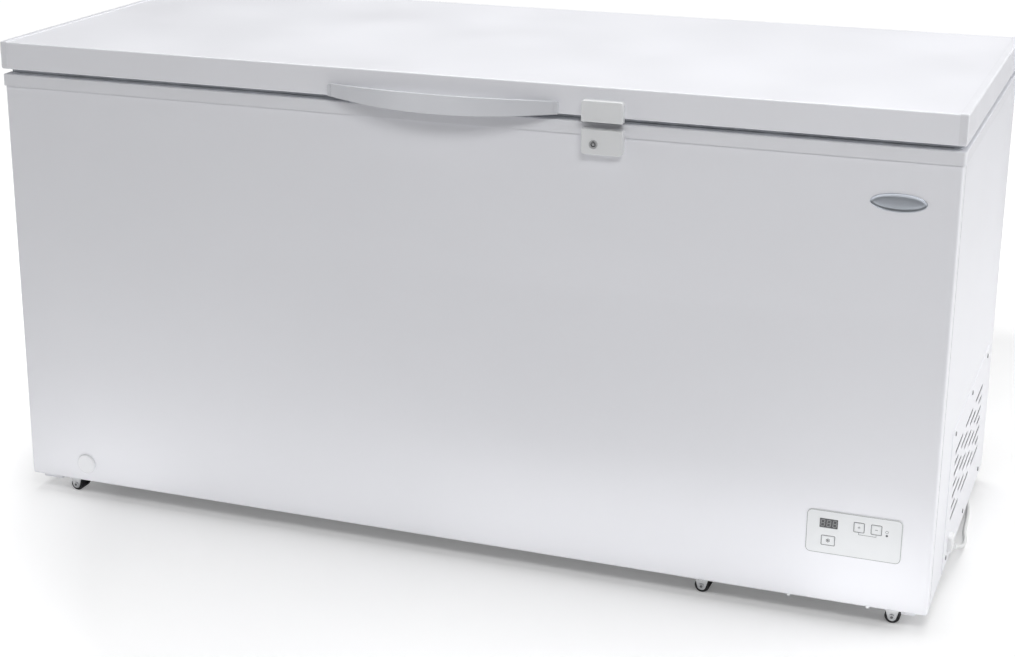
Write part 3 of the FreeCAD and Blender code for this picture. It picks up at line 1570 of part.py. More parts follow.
# ---- hinges ----
def hinge_base(x):
    """Channel screwed to the back panel, with two cheeks that hold the pin and a seat for the spring."""
    half = hinge_half_width
    d = cabinet_depth
    web_top = rim_z - trim_height - hinge_web_gap
    web = box(x - half, x + half, d, d + hinge_sheet, hinge_bottom, web_top)
    r = hinge_round
    points = [(0, d, hinge_bottom), (0, pin_y + r, hinge_bottom + hinge_slant), (0, pin_y + r, pin_z + r),
              (0, pin_y - r, pin_z + r), (0, pin_y - r, web_top), (0, d, web_top)]
    cheek = prism(points, [0, hinge_corner, r - 0.05, r - 0.05, 0, 0], V(hinge_sheet, 0, 0))
    cheeks = []
    for x0 in (x - half, x + half - hinge_sheet):
        copy = cheek.copy()
        copy.translate(V(x0, 0, 0))
        cheeks.append(copy)
    seat = box(x - half, x + half, d, pin_y + hinge_seat_reach, spring_seat, spring_seat + hinge_sheet)
    bore = cylinder((x - half - 1, pin_y, pin_z), X_AXIS, pin_radius + hinge_bore_fit, 2 * half + 2)
    holes = [cylinder((px, d - 1, pz), Y_AXIS, hinge_screw_hole, 5) for px, pz in hinge_screw_places()]
    return cut(fuse([web, seat] + cheeks), [bore] + holes)


def cam_curve():
    """Involute edge of the hinge arm: it lifts the follower in proportion to the lid's angle."""
    full = cam_drop()
    points = []
    steps = 10
    for i in range(steps + 1):
        angle = (lid_opening + cam_spare_angle) * i / steps
        reach = full - lift_radius * angle
        y = -lift_radius * math.cos(angle) + reach * math.sin(angle)
        z = -lift_radius * math.sin(angle) - reach * math.cos(angle)
        points.append(V(0, pin_y + y, pin_z + z))
    return points


def cam_drop():
    """How far below the pin the cams reach while the lid is closed."""
    return lift_radius * (lid_opening + cam_spare_angle) + arm_hub


def hinge_arm(x):
    """Leaf on the back of the lid with two ears round the pin, each with a cam below it."""
    half = hinge_half_width - hinge_sheet - arm_gap
    y0 = lid_back
    y1 = lid_back + arm_leaf
    low = lid_bottom + arm_leaf_low
    leaf = box(x - arm_half_width, x + arm_half_width, y0, y1, low, lid_bottom + arm_leaf_high)
    spline = Part.BSplineCurve()
    curve = cam_curve()
    spline.interpolate(curve)
    last = curve[-1]
    back = V(0, pin_y - arm_hub * 0.9, pin_z - arm_hub * 0.3)
    lobe = Part.Face(Part.Wire([
        spline.toShape(),
        Part.LineSegment(last, V(0, pin_y, pin_z)).toShape(),
        Part.LineSegment(V(0, pin_y, pin_z), back).toShape(),
        Part.LineSegment(back, curve[0]).toShape(),
    ])).extrude(V(arm_sheet, 0, 0))
    hub = cylinder((0, pin_y, pin_z), X_AXIS, arm_hub, arm_sheet)
    web_low, web_high = arm_web
    r = arm_hub * 0.7
    web_points = [(0, y1 - 1, lid_bottom + web_low), (0, pin_y, pin_z - 2), (0, pin_y + r, pin_z + r),
                  (0, y1 - 1, lid_bottom + web_high)]
    web = prism(web_points, [0, 0, 0, 0], V(arm_sheet, 0, 0))
    ear = fuse([hub, web, lobe])
    ears = []
    for x0 in (x - half, x + half - arm_sheet):
        copy = ear.copy()
        copy.translate(V(x0, 0, 0))
        ears.append(copy)
    bore = cylinder((x - half - 1, pin_y, pin_z), X_AXIS, pin_radius + axle_clearance, 2 * half + 2)
    return fuse([leaf] + ears).cut(bore)


def hinge_pin(x):
    """Pin through both cheeks with a riveted head against each."""
    half = hinge_half_width
    head_radius, head = pin_head
    pin = cylinder((x - half - head, pin_y, pin_z), X_AXIS, pin_radius, 2 * (half + head))
    heads = [cylinder((x0, pin_y, pin_z), X_AXIS, head_radius, head) for x0 in (x - half - head, x + half)]
    return fuse([pin] + heads)


def follower_top():
    return pin_z - cam_drop() - follower_clearance


def hinge_follower(x):
    """Slider between the cheeks: the spring pushes it up against both cams."""
    half = hinge_half_width - hinge_sheet - follower_gap
    y = pin_y - lift_radius
    w = follower_width / 2
    z1 = follower_top()
    z0 = z1 - follower_height
    bar = box(x - half, x + half, y - w, y + w, z0, z1)
    radius = spring_radius - spring_wire - follower_gap
    stem = cylinder((x, y - 1, z0 - follower_stem), Z_AXIS, radius, follower_stem + 1)
    return bar.fuse(stem)


def hinge_spring(x):
    y = pin_y - lift_radius - 1
    z0 = spring_seat + hinge_sheet + spring_wire + spring_gap
    z1 = follower_top() - follower_height - spring_wire - spring_gap
    length = z1 - z0
    helix = Part.makeHelix(length / spring_turns, length, spring_radius)
    start = V(spring_radius, 0, 0)
    profile = Part.Wire(Part.makeCircle(spring_wire, start, Y_AXIS))
    coil = Part.Wire(helix.Edges).makePipeShell([profile], True, True)
    coil.translate(V(x, y, z0))
    return coil


def both_hinges(maker):
    return Part.makeCompound([maker(side * hinge_offset) for side in (-1, 1)])


# ---- basket ----
def basket():
    """Open basket over the step. Its hooks rest on the ledges at the front and back of the mouth."""
    x1 = tub_half - basket_side_clearance
    x0 = x1 - basket_length
    y0 = tub_front + basket_end_clearance
    y1 = tub_back - basket_end_clearance
    top = tub_top + trim_wall + basket_seat_clearance
    wire = 2 * basket_wire
    tray = plan_box(x0, x1, y0, y1, top - basket_height, top, basket_corner)
    inside = (x0 + wire, x1 - wire, y0 + wire, y1 - wire)
    space = plan_box(*inside, top - basket_height + wire, top + 1, basket_corner - wire)
    rim = plan_box(x0 - 1, x1 + 1, y0 - 1, y1 + 1, top - 2 * basket_rim_wire, top, basket_corner + 1)
    rim = rim.cut(plan_box(*inside, top - 9, top + 1, basket_corner - wire))
    hooks = []
    reach = basket_end_clearance + wall - ledge_start - trim_wall - basket_seat_clearance
    for x in (x0 + basket_hook_inset, x1 - basket_hook_inset):
        for start, end in ((y0 - reach, y0 + wire), (y1 - wire, y1 + reach)):
            half = basket_hook_width / 2
            hooks.append(box(x - half, x + half, start, end, top - 0.01, top + 2 * basket_rim_wire))
    return fuse([tray.cut(space), rim] + hooks)


def plan_box(x0, x1, y0, y1, z0, z1, radius):
    """An upright block with four rounded corners."""
    points = [(x0, y0, z0), (x1, y0, z0), (x1, y1, z0), (x0, y1, z0)]
    return prism(points, [radius] * 4, V(0, 0, z1 - z0))


# ---- mains cord ----
def cord_radii(points):
    radii = [0]
    for i in range(1, len(points) - 1):
        a = V(*points[i - 1]) - V(*points[i])
        b = V(*points[i + 1]) - V(*points[i])
        turn = math.pi - a.getAngle(b)
        radii.append(0.45 * min(a.Length, b.Length) / math.tan(turn / 2))
    radii.append(0)
    return radii


def strain_relief():
    """Clamp block on the vent panel with a tapered sleeve that leads the cord down and backwards."""
    x0 = half_width + vent_thickness
    block = plate_yz(*gland_y, *gland_z, gland_corner, x0, x0 + gland_proud)
    block = fillet_where(block, gland_round, lambda e: flat_at(e, "x", x0 + gland_proud))
    end = V(*cord_points[0])
    direction = (V(*cord_points[1]) - end).normalize()
    start = end - direction * relief_length
    sleeve = Part.makeCone(relief_radius, cord_radius + relief_tip, relief_length, start, direction)
    return block.fuse(sleeve)


def cord_coil():
    x, y = coil_centre
    outer = cylinder((x, y, 0), Z_AXIS, coil_mean_radius + coil_half_width, coil_height)
    inner = cylinder((x, y, -1), Z_AXIS, coil_mean_radius - coil_half_width, coil_height + 2)
    return outer.cut(inner)


def mains_plug():
    """Round angled plug lying on its back with its pins up and its neck towards the coil."""
    x = coil_centre[0] - plug_from_coil
    y = cord_points[-1][1]
    body = cylinder((x, y, 0), Z_AXIS, plug_radius, plug_height)
    body = round_rim(body, plug_round_back, "z", 0)
    body = round_rim(body, plug_round_face, "z", plug_height)
    tip = coil_centre[0] - neck_from_coil
    start = x + plug_radius - 4.0
    neck = Part.makeCone(neck_radius, cord_radius + relief_tip, tip - start, V(start, y, neck_z), X_AXIS)
    pins = [cylinder((x, y + side * pin_pitch / 2, plug_height - 1), Z_AXIS, pin_size, pin_length + 1)
            for side in (-1, 1)]
    return fuse([body, neck] + pins)


def main():
    os.makedirs("parts", exist_ok=True)
    save("front_panel", front_panel())
    save("side_panel_left", side_panel(-1))
    save("side_panel_right", right_panel())
    save("back_panel", back_panel())
    save("base_pan", base_pan())
    save("compartment_liner", compartment_liner())
    save("inner_liner", inner_liner())
    evaporator_tube = tube_along(*evaporator(), evaporator_radius)
    save("evaporator_coil", evaporator_tube)
    save("insulation", insulation(evaporator_tube, drain_tube(0.0)))
    save("top_trim", top_trim())
    save("vent_panel", vent_panel())
    save("fasteners", fasteners())
    save("compressor_plate", compressor_plate())
    save("base_rails", base_rails())
    save("compressor", compressor())
    save("compressor_mounts", compressor_mounts())
    save("start_relay", start_relay())
    save("fan_shroud", fan_shroud())
    save("fan_motor", fan_motor())
    save("fan_blade", fan_blade())
    save("condenser_tube", condenser_tube())
    save("condenser_fins", condenser_fin_stack())
    save("filter_drier", filter_drier())
    save("refrigerant_pipes", refrigerant_pipes())
    save("control_overlay", control_overlay())
    save("control_housing", control_housing())
    save("display_board", display_board())
    for name, bounds in key_boxes.items():
        save(name, key(bounds))
    save("drain_tube", drain_tube())
    save("drain_cap", drain_cap())
    save("drain_plug", drain_plug())
    places = caster_places()
    save("caster_brackets", Part.makeCompound([caster_bracket(*p) for p in places]))
    save("caster_axles", Part.makeCompound([caster_axle(x, y) for x, y, _ in places]))
    for number, (x, y, _) in enumerate(places, 1):
        save(f"caster_wheel_{number}", caster_wheel(x, y))
    save("lid_shell", lid_shell())
    save("lid_end_caps", Part.makeCompound([lid_end_cap(-1), lid_end_cap(1)]))
    save("lid_liner", lid_liner())
    save("lid_foam", lid_foam())
    save("lid_gasket", lid_gasket())
    save("handle", handle())
    save("strike_cover", strike_cover())
    save("lock_body", lock_body())
    save("lock_cylinder", lock_cylinder())
    save("hinge_bases", both_hinges(hinge_base))
    save("hinge_arms", both_hinges(hinge_arm))
    save("hinge_pins", both_hinges(hinge_pin))
    save("hinge_followers", both_hinges(hinge_follower))
    save("hinge_springs", both_hinges(hinge_spring))
    save("basket", basket())
    radii = cord_radii(cord_points)
    print("cord radii", [round(r) for r in radii[1:-1]])
    cord = tube_along(cord_points, radii, cord_radius)
    length = rounded_path(cord_points, radii, False).Length
    share = cord.Volume / (math.pi * cord_radius ** 2 * length)
    print(f"cord tube length {length:.1f}, volume share {share:.4f}")
    save("strain_relief", strain_relief())
    save("cord_tube", cord)
    save("cord_coil", cord_coil())
    save("mains_plug", mains_plug())


main()
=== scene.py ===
import bpy
import json
import math
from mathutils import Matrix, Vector


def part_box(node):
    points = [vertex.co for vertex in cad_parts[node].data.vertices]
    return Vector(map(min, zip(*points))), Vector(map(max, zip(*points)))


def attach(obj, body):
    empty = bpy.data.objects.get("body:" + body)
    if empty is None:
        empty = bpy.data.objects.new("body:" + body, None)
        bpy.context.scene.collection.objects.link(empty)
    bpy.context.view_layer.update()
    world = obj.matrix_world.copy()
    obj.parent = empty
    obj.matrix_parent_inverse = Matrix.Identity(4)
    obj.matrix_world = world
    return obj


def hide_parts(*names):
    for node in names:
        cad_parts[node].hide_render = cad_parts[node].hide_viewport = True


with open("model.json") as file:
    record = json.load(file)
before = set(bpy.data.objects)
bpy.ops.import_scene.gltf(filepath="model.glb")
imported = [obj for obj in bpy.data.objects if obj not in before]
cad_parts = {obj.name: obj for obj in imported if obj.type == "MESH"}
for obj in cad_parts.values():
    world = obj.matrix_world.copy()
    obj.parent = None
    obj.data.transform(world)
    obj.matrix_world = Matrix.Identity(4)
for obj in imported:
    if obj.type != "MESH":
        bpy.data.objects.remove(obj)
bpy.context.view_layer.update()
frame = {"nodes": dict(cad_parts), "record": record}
nodes = frame["nodes"]

# ---- camera and light ----
camera_place = (1.1559, -3.2483, 1.4537)
camera_turn = (71.65, -0.06, 21.106)
camera_lens = 70.01
camera_shift = (0.0459, 0.0011)
ambient_strength = 0.04
# Each lamp: place, size, watts and the point that it faces. The bounce lamps lie just above the floor.
lamps = {
    "overhead": ((0.0, 0.5, 3.2), (3.6, 2.4), 83.5, (0.0, 0.0, 0.6)),
    "front_right": ((1.4, -2.2, 2.6), (1.6, 0.8), 32.5, (0.7, -0.3, 0.6)),
    "front_left": ((-1.4, -2.2, 2.6), (1.6, 0.8), 8.3, (-0.7, -0.3, 0.6)),
    "right_side": ((3.4, 0.6, 1.6), (2.4, 2.4), 63.0, (0.8, 0.0, 0.5)),
    "left_side": ((-3.4, -1.0, 1.2), (2.4, 2.0), 28.5, (-0.4, -0.3, 0.2)),
    "floor_bounce": ((0.0, -0.545, 0.012), (1.75, 0.36), 1.27, (0.0, -0.5449, 2.0)),
    "floor_bounce_middle": ((0.4, -0.545, 0.012), (0.8, 0.36), 0.14, (0.4, -0.5449, 2.0)),
    "floor_bounce_right": ((0.88, -0.545, 0.012), (0.5, 0.36), 0.33, (0.88, -0.5449, 2.0)),
    "floor_bounce_left": ((-0.8, -0.545, 0.012), (0.5, 0.36), 0.19, (-0.8, -0.5449, 2.0)),
}

# ---- room ----
floor_size = 30.0
floor_middle = (0.55, 0.0, 0.0)
floor_tone_reach = (1.25, 1.9)
floor_tone_strength = (0.175, 0.95)

# ---- cord ----
cord_route = [
    (0.8364, -0.0850, 0.0500),
    (0.8376, -0.0580, 0.0380),
    (0.8380, -0.0290, 0.0260),
    (0.8382, 0.0000, 0.0146),
    (0.8389, 0.0280, 0.0046),
    (0.8388, 0.0540, 0.0035),
    (0.8338, 0.0780, 0.0035),
    (0.8312, 0.1050, 0.0035),
    (0.8302, 0.1350, 0.0035),
    (0.8280, 0.1660, 0.0035),
    (0.8246, 0.1980, 0.0035),
    (0.8192, 0.2310, 0.0035),
    (0.8134, 0.2650, 0.0035),
    (0.8066, 0.2970, 0.0035),
    (0.8024, 0.3270, 0.0035),
    (0.7996, 0.3560, 0.0035),
    (0.7860, 0.3785, 0.0035),
    (0.7620, 0.3872, 0.0035),
    (0.7340, 0.3875, 0.0035),
]
cord_diameter = 0.007
coil_middle = (0.712, 0.433)
coil_rings = (0.0455, 0.0385, 0.0315)
coil_steps_per_turn = 24
plug_neck = (0.687, 0.3875, 0.009)

# ---- faces with a look of their own ----
plug_pins_start = 0.0201
board_face_start = -0.3248
vent_screw_face = 0.8284
rivet_hollow = 0.0025
fork_half = 0.03

# ---- painted shade lines under the trim and in the seams ----
trim_skirt = 0.0205
seam_gap = 0.0006
shade_line_radius = 0.0006
shade_line_corner = 0.005
shade_line_foot = 0.003

# ---- printed marks and badge ----
print_lift = 0.00004
sign_width = 0.0007
thin_line = 0.0006
key_frame_gap = 0.0011
window_low = (0.6485, 0.160)
window_high = (0.6775, 0.176)
segment_lift = 0.00006
badge_centre = (0.736, 0.703)
badge_half_size = (0.043, 0.0145)
badge_rise = 0.0016
badge_profile = ((1.0, 0.0), (1.0, 0.5), (0.975, 0.8), (0.94, 0.8), (0.92, 0.62), (0.6, 0.85), (0.25, 0.96))

# ---- shaders ----
class Shader:
    """One material with its principled shader and helpers that add texture to it."""

    def __init__(self, name, color, roughness, metallic=0.0, **sockets):
        self.material = bpy.data.materials.new(name)
        self.material.use_nodes = True
        self.tree = self.material.node_tree
        self.bsdf = self.tree.nodes["Principled BSDF"]
        self.color = color
        self.roughness = roughness
        self.set(base_color=(*color, 1.0), roughness=roughness, metallic=metallic, **sockets)
        self.place = self.tree.nodes.new("ShaderNodeTexCoord").outputs["Object"]
        self.normal = None

    def set(self, **sockets):
        for key, value in sockets.items():
            self.bsdf.inputs[key.replace("_", " ").title().replace("Ior", "IOR")].default_value = value

    def add(self, kind, **inputs):
        node = self.tree.nodes.new(kind)
        for key, value in inputs.items():
            node.inputs[key.replace("_", " ").title()].default_value = value
        return node

    def join(self, output, socket):
        self.tree.links.new(output, socket)

    def stretched(self, scale):
        """The object's own coordinates, scaled unevenly."""
        mapping = self.add("ShaderNodeMapping")
        mapping.inputs["Scale"].default_value = scale
        self.join(self.place, mapping.inputs["Vector"])
        return mapping.outputs["Vector"]

    def noise(self, scale, detail=2.0, stretch=None):
        node = self.add("ShaderNodeTexNoise", scale=scale, detail=detail)
        self.join(self.stretched(stretch) if stretch else self.place, node.inputs["Vector"])
        return node.outputs["Fac"]

    def cells(self, scale, feature="F1"):
        node = self.add("ShaderNodeTexVoronoi", scale=scale)
        node.feature = feature
        self.join(self.place, node.inputs["Vector"])
        return node

    def spread(self, value, low, high, out_low, out_high):
        """The value moved from one range to another, clamped."""
        node = self.add("ShaderNodeMapRange")
        numbers = {"From Min": low, "From Max": high, "To Min": out_low, "To Max": out_high}
        for key, number in numbers.items():
            node.inputs[key].default_value = number
        self.join(value, node.inputs["Value"])
        return node.outputs["Result"]

    def tint(self, value, first, second, low=0.35, high=0.65):
        """Base colour that runs from the first colour to the second with the value."""
        ramp = self.add("ShaderNodeValToRGB")
        ramp.color_ramp.elements[0].position = low
        ramp.color_ramp.elements[1].position = high
        ramp.color_ramp.elements[0].color = (*first, 1.0)
        ramp.color_ramp.elements[1].color = (*second, 1.0)
        self.join(value, ramp.inputs["Fac"])
        self.join(ramp.outputs["Color"], self.bsdf.inputs["Base Color"])

    def rough(self, value, low, high):
        self.join(self.spread(value, 0.3, 0.7, low, high), self.bsdf.inputs["Roughness"])

    def bump(self, height, strength, distance):
        """Relief on top of any relief that is there already."""
        node = self.add("ShaderNodeBump", strength=strength, distance=distance)
        self.join(height, node.inputs["Height"])
        if self.normal is not None:
            self.join(self.normal, node.inputs["Normal"])
        self.normal = node.outputs["Normal"]
        self.join(self.normal, self.bsdf.inputs["Normal"])


def darker(color, share):
    return tuple(c * share for c in color)


def painted_sheet(name, color, roughness=0.33):
    """Coated steel sheet: a faint orange peel, slow waves in the sheet and uneven gloss."""
    shader = Shader(name, color, roughness)
    shader.tint(shader.noise(2.2, 3.0), darker(color, 0.985), color)
    shader.rough(shader.noise(5.0, 4.0), roughness - 0.035, roughness + 0.05)
    shader.bump(shader.noise(1.7, 1.0), 0.12, 0.0012)
    shader.bump(shader.noise(230.0, 2.0), 0.03, 0.0003)
    return shader.material


def moulded_plastic(name, color, roughness=0.42, grain=1500.0, depth=0.12, **sockets):
    """Injection moulded plastic with the fine grain of an eroded tool."""
    shader = Shader(name, color, roughness, **sockets)
    shader.tint(shader.noise(14.0, 3.0), darker(color, 0.975), color)
    shader.rough(shader.noise(60.0, 3.0), roughness - 0.05, roughness + 0.06)
    shader.bump(shader.noise(grain, 3.0), depth, 0.0002)
    return shader.material


def plated_steel(name, color, roughness=0.3):
    """Zinc plated steel: cloudy tone and fine drawing lines."""
    shader = Shader(name, color, roughness, metallic=1.0)
    shader.tint(shader.noise(45.0, 4.0), darker(color, 0.82), color)
    shader.rough(shader.noise(90.0, 4.0), roughness - 0.08, roughness + 0.14)
    shader.bump(shader.noise(900.0, 2.0, (1.0, 1.0, 0.12)), 0.08, 0.0002)
    return shader.material


def galvanised_sheet(name, color):
    """Hot dipped sheet with its spangle of crystals."""
    shader = Shader(name, color, 0.42, metallic=0.9)
    spangle = shader.cells(95.0)
    grey = shader.add("ShaderNodeSeparateColor")
    shader.join(spangle.outputs["Color"], grey.inputs["Color"])
    shader.tint(grey.outputs["Red"], darker(color, 0.86), color, 0.1, 0.9)
    shader.rough(grey.outputs["Green"], 0.34, 0.52)
    shader.bump(spangle.outputs["Distance"], 0.05, 0.0003)
    return shader.material


def stucco_sheet(name, color):
    """Coated liner sheet with a fine embossed pattern."""
    shader = Shader(name, color, 0.36)
    shader.tint(shader.noise(3.0, 3.0), darker(color, 0.97), color)
    shader.rough(shader.noise(30.0, 3.0), 0.3, 0.42)
    shader.bump(shader.cells(210.0, "SMOOTH_F1").outputs["Distance"], 0.22, 0.0006)
    return shader.material


def rubber(name, color, roughness=0.62):
    shader = Shader(name, color, roughness)
    shader.tint(shader.noise(35.0, 4.0), darker(color, 0.8), color)
    shader.rough(shader.noise(120.0, 3.0), roughness - 0.08, roughness + 0.08)
    shader.bump(shader.noise(1100.0, 2.0), 0.15, 0.0002)
    return shader.material


def polished(name, color, roughness, metallic=1.0):
    """Turned and plated metal with faint circular wear."""
    shader = Shader(name, color, roughness, metallic)
    shader.rough(shader.noise(400.0, 4.0), roughness - 0.05, roughness + 0.1)
    shader.bump(shader.noise(1400.0, 2.0), 0.05, 0.0001)
    return shader.material


def brushed(name, color):
    """Smooth metal foil with long, faint brush lines."""
    shader = Shader(name, color, 0.32, metallic=1.0)
    shader.rough(shader.noise(60.0, 3.0, (0.1, 1.0, 1.0)), 0.3, 0.38)
    return shader.material


def copper(name):
    shader = Shader(name, (0.78, 0.42, 0.27), 0.28, metallic=1.0)
    shader.tint(shader.noise(38.0, 5.0), (0.42, 0.2, 0.12), (0.8, 0.44, 0.29), 0.3, 0.6)
    shader.rough(shader.noise(80.0, 4.0), 0.2, 0.42)
    return shader.material


def foam(name):
    shader = Shader(name, (0.82, 0.72, 0.46), 0.9)
    shader.tint(shader.noise(20.0, 5.0), (0.72, 0.6, 0.34), (0.86, 0.77, 0.52))
    shader.bump(shader.cells(420.0).outputs["Distance"], 0.5, 0.001)
    return shader.material


def enamel(name, color):
    shader = Shader(name, color, 0.24, coat_weight=0.4)
    shader.rough(shader.noise(25.0, 4.0), 0.2, 0.4)
    shader.bump(shader.noise(420.0, 2.0), 0.14, 0.0004)
    return shader.material


def nylon(name, color):
    """Black wheel plastic, a little greyer where it has rolled."""
    shader = Shader(name, color, 0.48)
    shader.tint(shader.noise(160.0, 5.0), color, tuple(c + 0.05 for c in color), 0.45, 0.8)
    shader.rough(shader.noise(220.0, 3.0), 0.4, 0.6)
    shader.bump(shader.noise(900.0, 2.0), 0.12, 0.0002)
    return shader.material


def glass_window(name, color):
    shader = Shader(name, color, 0.1, coat_weight=0.5)
    shader.rough(shader.noise(200.0, 2.0), 0.07, 0.14)
    return shader.material


def circuit_board(name):
    shader = Shader(name, (0.02, 0.16, 0.07), 0.35)
    tracks = shader.noise(300.0, 2.0, (1.0, 1.0, 6.0))
    shader.tint(tracks, (0.015, 0.12, 0.05), (0.03, 0.2, 0.09), 0.48, 0.52)
    return shader.material


WHITE = (0.852, 0.857, 0.895)
looks = {
    "white_paint": painted_sheet("white_paint_look", WHITE),
    "white_liner": stucco_sheet("white_liner_look", (0.84, 0.85, 0.865)),
    "galvanised": galvanised_sheet("galvanised_look", (0.62, 0.63, 0.645)),
    "zinc": plated_steel("zinc_look", (0.84, 0.85, 0.86)),
    "dark_steel": enamel("dark_steel_look", (0.045, 0.045, 0.05)),
    "foam": foam("foam_look"),
    "trim_plastic": moulded_plastic("trim_plastic_look", (0.81, 0.815, 0.85), 0.36),
    "handle_plastic": moulded_plastic("handle_plastic_look", (0.80, 0.81, 0.82), 0.4),
    "grey_gasket": rubber("grey_gasket_look", (0.50, 0.52, 0.56)),
    "caster_black": nylon("caster_black_look", (0.022, 0.022, 0.024)),
    "copper": copper("copper_look"),
    "aluminium_fin": plated_steel("aluminium_fin_look", (0.78, 0.79, 0.8), 0.34),
    "compressor_black": enamel("compressor_black_look", (0.016, 0.016, 0.018)),
    "rubber_black": rubber("rubber_black_look", (0.02, 0.02, 0.021)),
    "black_plastic": moulded_plastic("black_plastic_look", (0.03, 0.03, 0.033), 0.45),
    "white_plastic": moulded_plastic("white_plastic_look", (0.83, 0.84, 0.85), 0.4, depth=0.05),
    "panel_film": moulded_plastic("panel_film_look", (0.80, 0.815, 0.83), 0.34, 2600.0, 0.05),
    "display": glass_window("display_look", (0.04, 0.042, 0.047)),
    "key_plastic": moulded_plastic("key_plastic_look", (0.80, 0.815, 0.83), 0.34, 2600.0, 0.05),
    "cord_white": moulded_plastic("cord_white_look", (0.83, 0.835, 0.83), 0.38, 900.0, 0.05),
    "chrome_lock": polished("chrome_lock_look", (0.5, 0.505, 0.515), 0.32, 0.35),
    "wire_white": painted_sheet("wire_white_look", (0.83, 0.835, 0.84), 0.36),
}
ink = moulded_plastic("ink_look", (0.075, 0.08, 0.09), 0.4, depth=0.02)
# Grey for the painted shade line just inside the edge of the control overlay.
painted_edge_shade_grey = moulded_plastic("painted_edge_shade_look", (0.32, 0.33, 0.34), 0.4, depth=0.02)
segment_grey = moulded_plastic("segment_look", (0.24, 0.245, 0.25), 0.3, depth=0.02)
nickel = polished("nickel_look", (0.74, 0.73, 0.7), 0.22)
badge_metal = brushed("badge_look", (0.62, 0.66, 0.72))
# Darker grey for the painted shadow line under the top trim, paler grey for the painted shade in the corner
# seams.
painted_trim_shadow_grey = rubber("painted_trim_shadow_look", (0.36, 0.36, 0.38), 0.55)
painted_seam_shade_grey = rubber("painted_seam_shade_look", (0.7, 0.7, 0.72), 0.55)
# Dark grey for the vent screws, and painted shade in the hollow ends of the caster rivets.
dark_screw_and_hollow_shade_grey = plated_steel("dark_screw_and_hollow_shade_look", (0.30, 0.305, 0.31))
tie_black = rubber("tie_look", (0.03, 0.03, 0.03), 0.5)
board_green = circuit_board("board_look")


own_looks = {
    "handle": moulded_plastic("handle_look", (0.66, 0.67, 0.705), 0.36),
    "drain_cap": moulded_plastic("drain_cap_look", (0.83, 0.835, 0.86), 0.2, depth=0.02),
    "strain_relief": moulded_plastic("strain_relief_look", (0.88, 0.885, 0.89), 0.38, depth=0.05),
}


def dress_nodes():
    """Each carried-over piece gets its own look or the look of its slot."""
    for part in frame["record"]["subparts"]:
        piece = nodes[part["node"]]
        piece.data.materials.clear()
        piece.data.materials.append(own_looks.get(part["node"], looks[part["material_slot"]]))


def second_look(node, material, belongs):
    """Faces of a piece whose middle passes the test get another material."""
    mesh = nodes[node].data
    mesh.materials.append(material)
    index = len(mesh.materials) - 1
    for face in mesh.polygons:
        if belongs(face.center):
            face.material_index = index


def in_rivet_hollow(middle):
    """Whether a face of the caster axles lies in the hollow end of a rivet."""
    for axle, half in caster_wheels:
        along = abs(middle.y - axle.y)
        if math.hypot(middle.x - axle.x, middle.z - axle.z) < rivet_hollow and along < fork_half:
            return along > half
    return False


# ---- mesh helpers ----
def new_piece(name, vertices, faces, material, body, smooth=False):
    mesh = bpy.data.meshes.new(name)
    mesh.from_pydata([tuple(v) for v in vertices], [], faces)
    mesh.materials.append(material)
    for face in mesh.polygons:
        face.use_smooth = smooth
    piece = bpy.data.objects.new(name, mesh)
    bpy.context.scene.collection.objects.link(piece)
    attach(piece, body)
    return piece


class Shape:
    """Vertices and faces gathered for one piece."""

    def __init__(self):
        self.vertices = []
        self.faces = []

    def slab(self, loop, y, thickness):
        """A flat closed outline in x and z, thickened towards the front."""
        start = len(self.vertices)
        count = len(loop)
        self.vertices += [(x, y - thickness, z) for x, z in loop]
        self.vertices += [(x, y, z) for x, z in loop]
        front = list(range(start, start + count))
        self.faces.append(front)
        self.faces.append([i + count for i in reversed(front)])
        for i in range(count):
            j = (i + 1) % count
            self.faces.append([start + j, start + i, start + count + i, start + count + j])

    def stroke(self, points, width, y, thickness, closed=False):
        """A line of even width through points in x and z, as one thin strip."""
        left, right = [], []
        count = len(points)
        for i, point in enumerate(points):
            before = points[(i - 1) % count] if closed or i else None
            after = points[(i + 1) % count] if closed or i < count - 1 else None
            ways = []
            if before is not None:
                ways.append((Vector(point) - Vector(before)).normalized())
            if after is not None:
                ways.append((Vector(after) - Vector(point)).normalized())
            way = sum(ways, Vector((0.0, 0.0))).normalized()
            side = Vector((-way.y, way.x))
            reach = width / 2 / max(0.3, way.dot(ways[0]))
            left.append(Vector(point) + side * reach)
            right.append(Vector(point) - side * reach)
        start = len(self.vertices)
        for a, b in zip(left, right):
            for end, depth in ((a, y - thickness), (b, y - thickness), (b, y), (a, y)):
                self.vertices.append((end.x, depth, end.y))
        last = count if closed else count - 1
        for i in range(last):
            p = start + 4 * i
            q = start + 4 * ((i + 1) % count)
            for k in range(4):
                self.faces.append([p + k, p + (k + 1) % 4, q + (k + 1) % 4, q + k])
        if not closed:
            self.faces.append([start + 3, start + 2, start + 1, start])
            end = start + 4 * (count - 1)
            self.faces.append([end, end + 1, end + 2, end + 3])

    def build(self, name, material, body, smooth=False):
        return new_piece(name, self.vertices, self.faces, material, body, smooth)


def rounded_loop(x0, x1, z0, z1, radius, steps=6):
    """Points round an upright rectangle with round corners."""
    corners = ((x1 - radius, z0 + radius, -90), (x1 - radius, z1 - radius, 0),
               (x0 + radius, z1 - radius, 90), (x0 + radius, z0 + radius, 180))
    loop = []
    for x, z, start in corners:
        for i in range(steps + 1):
            angle = math.radians(start + 90 * i / steps)
            loop.append((x + radius * math.cos(angle), z + radius * math.sin(angle)))
    return loop


def circle_loop(x, z, radius, steps=32):
    angles = [2 * math.pi * i / steps for i in range(steps)]
    return [(x + radius * math.cos(angle), z + radius * math.sin(angle)) for angle in angles]


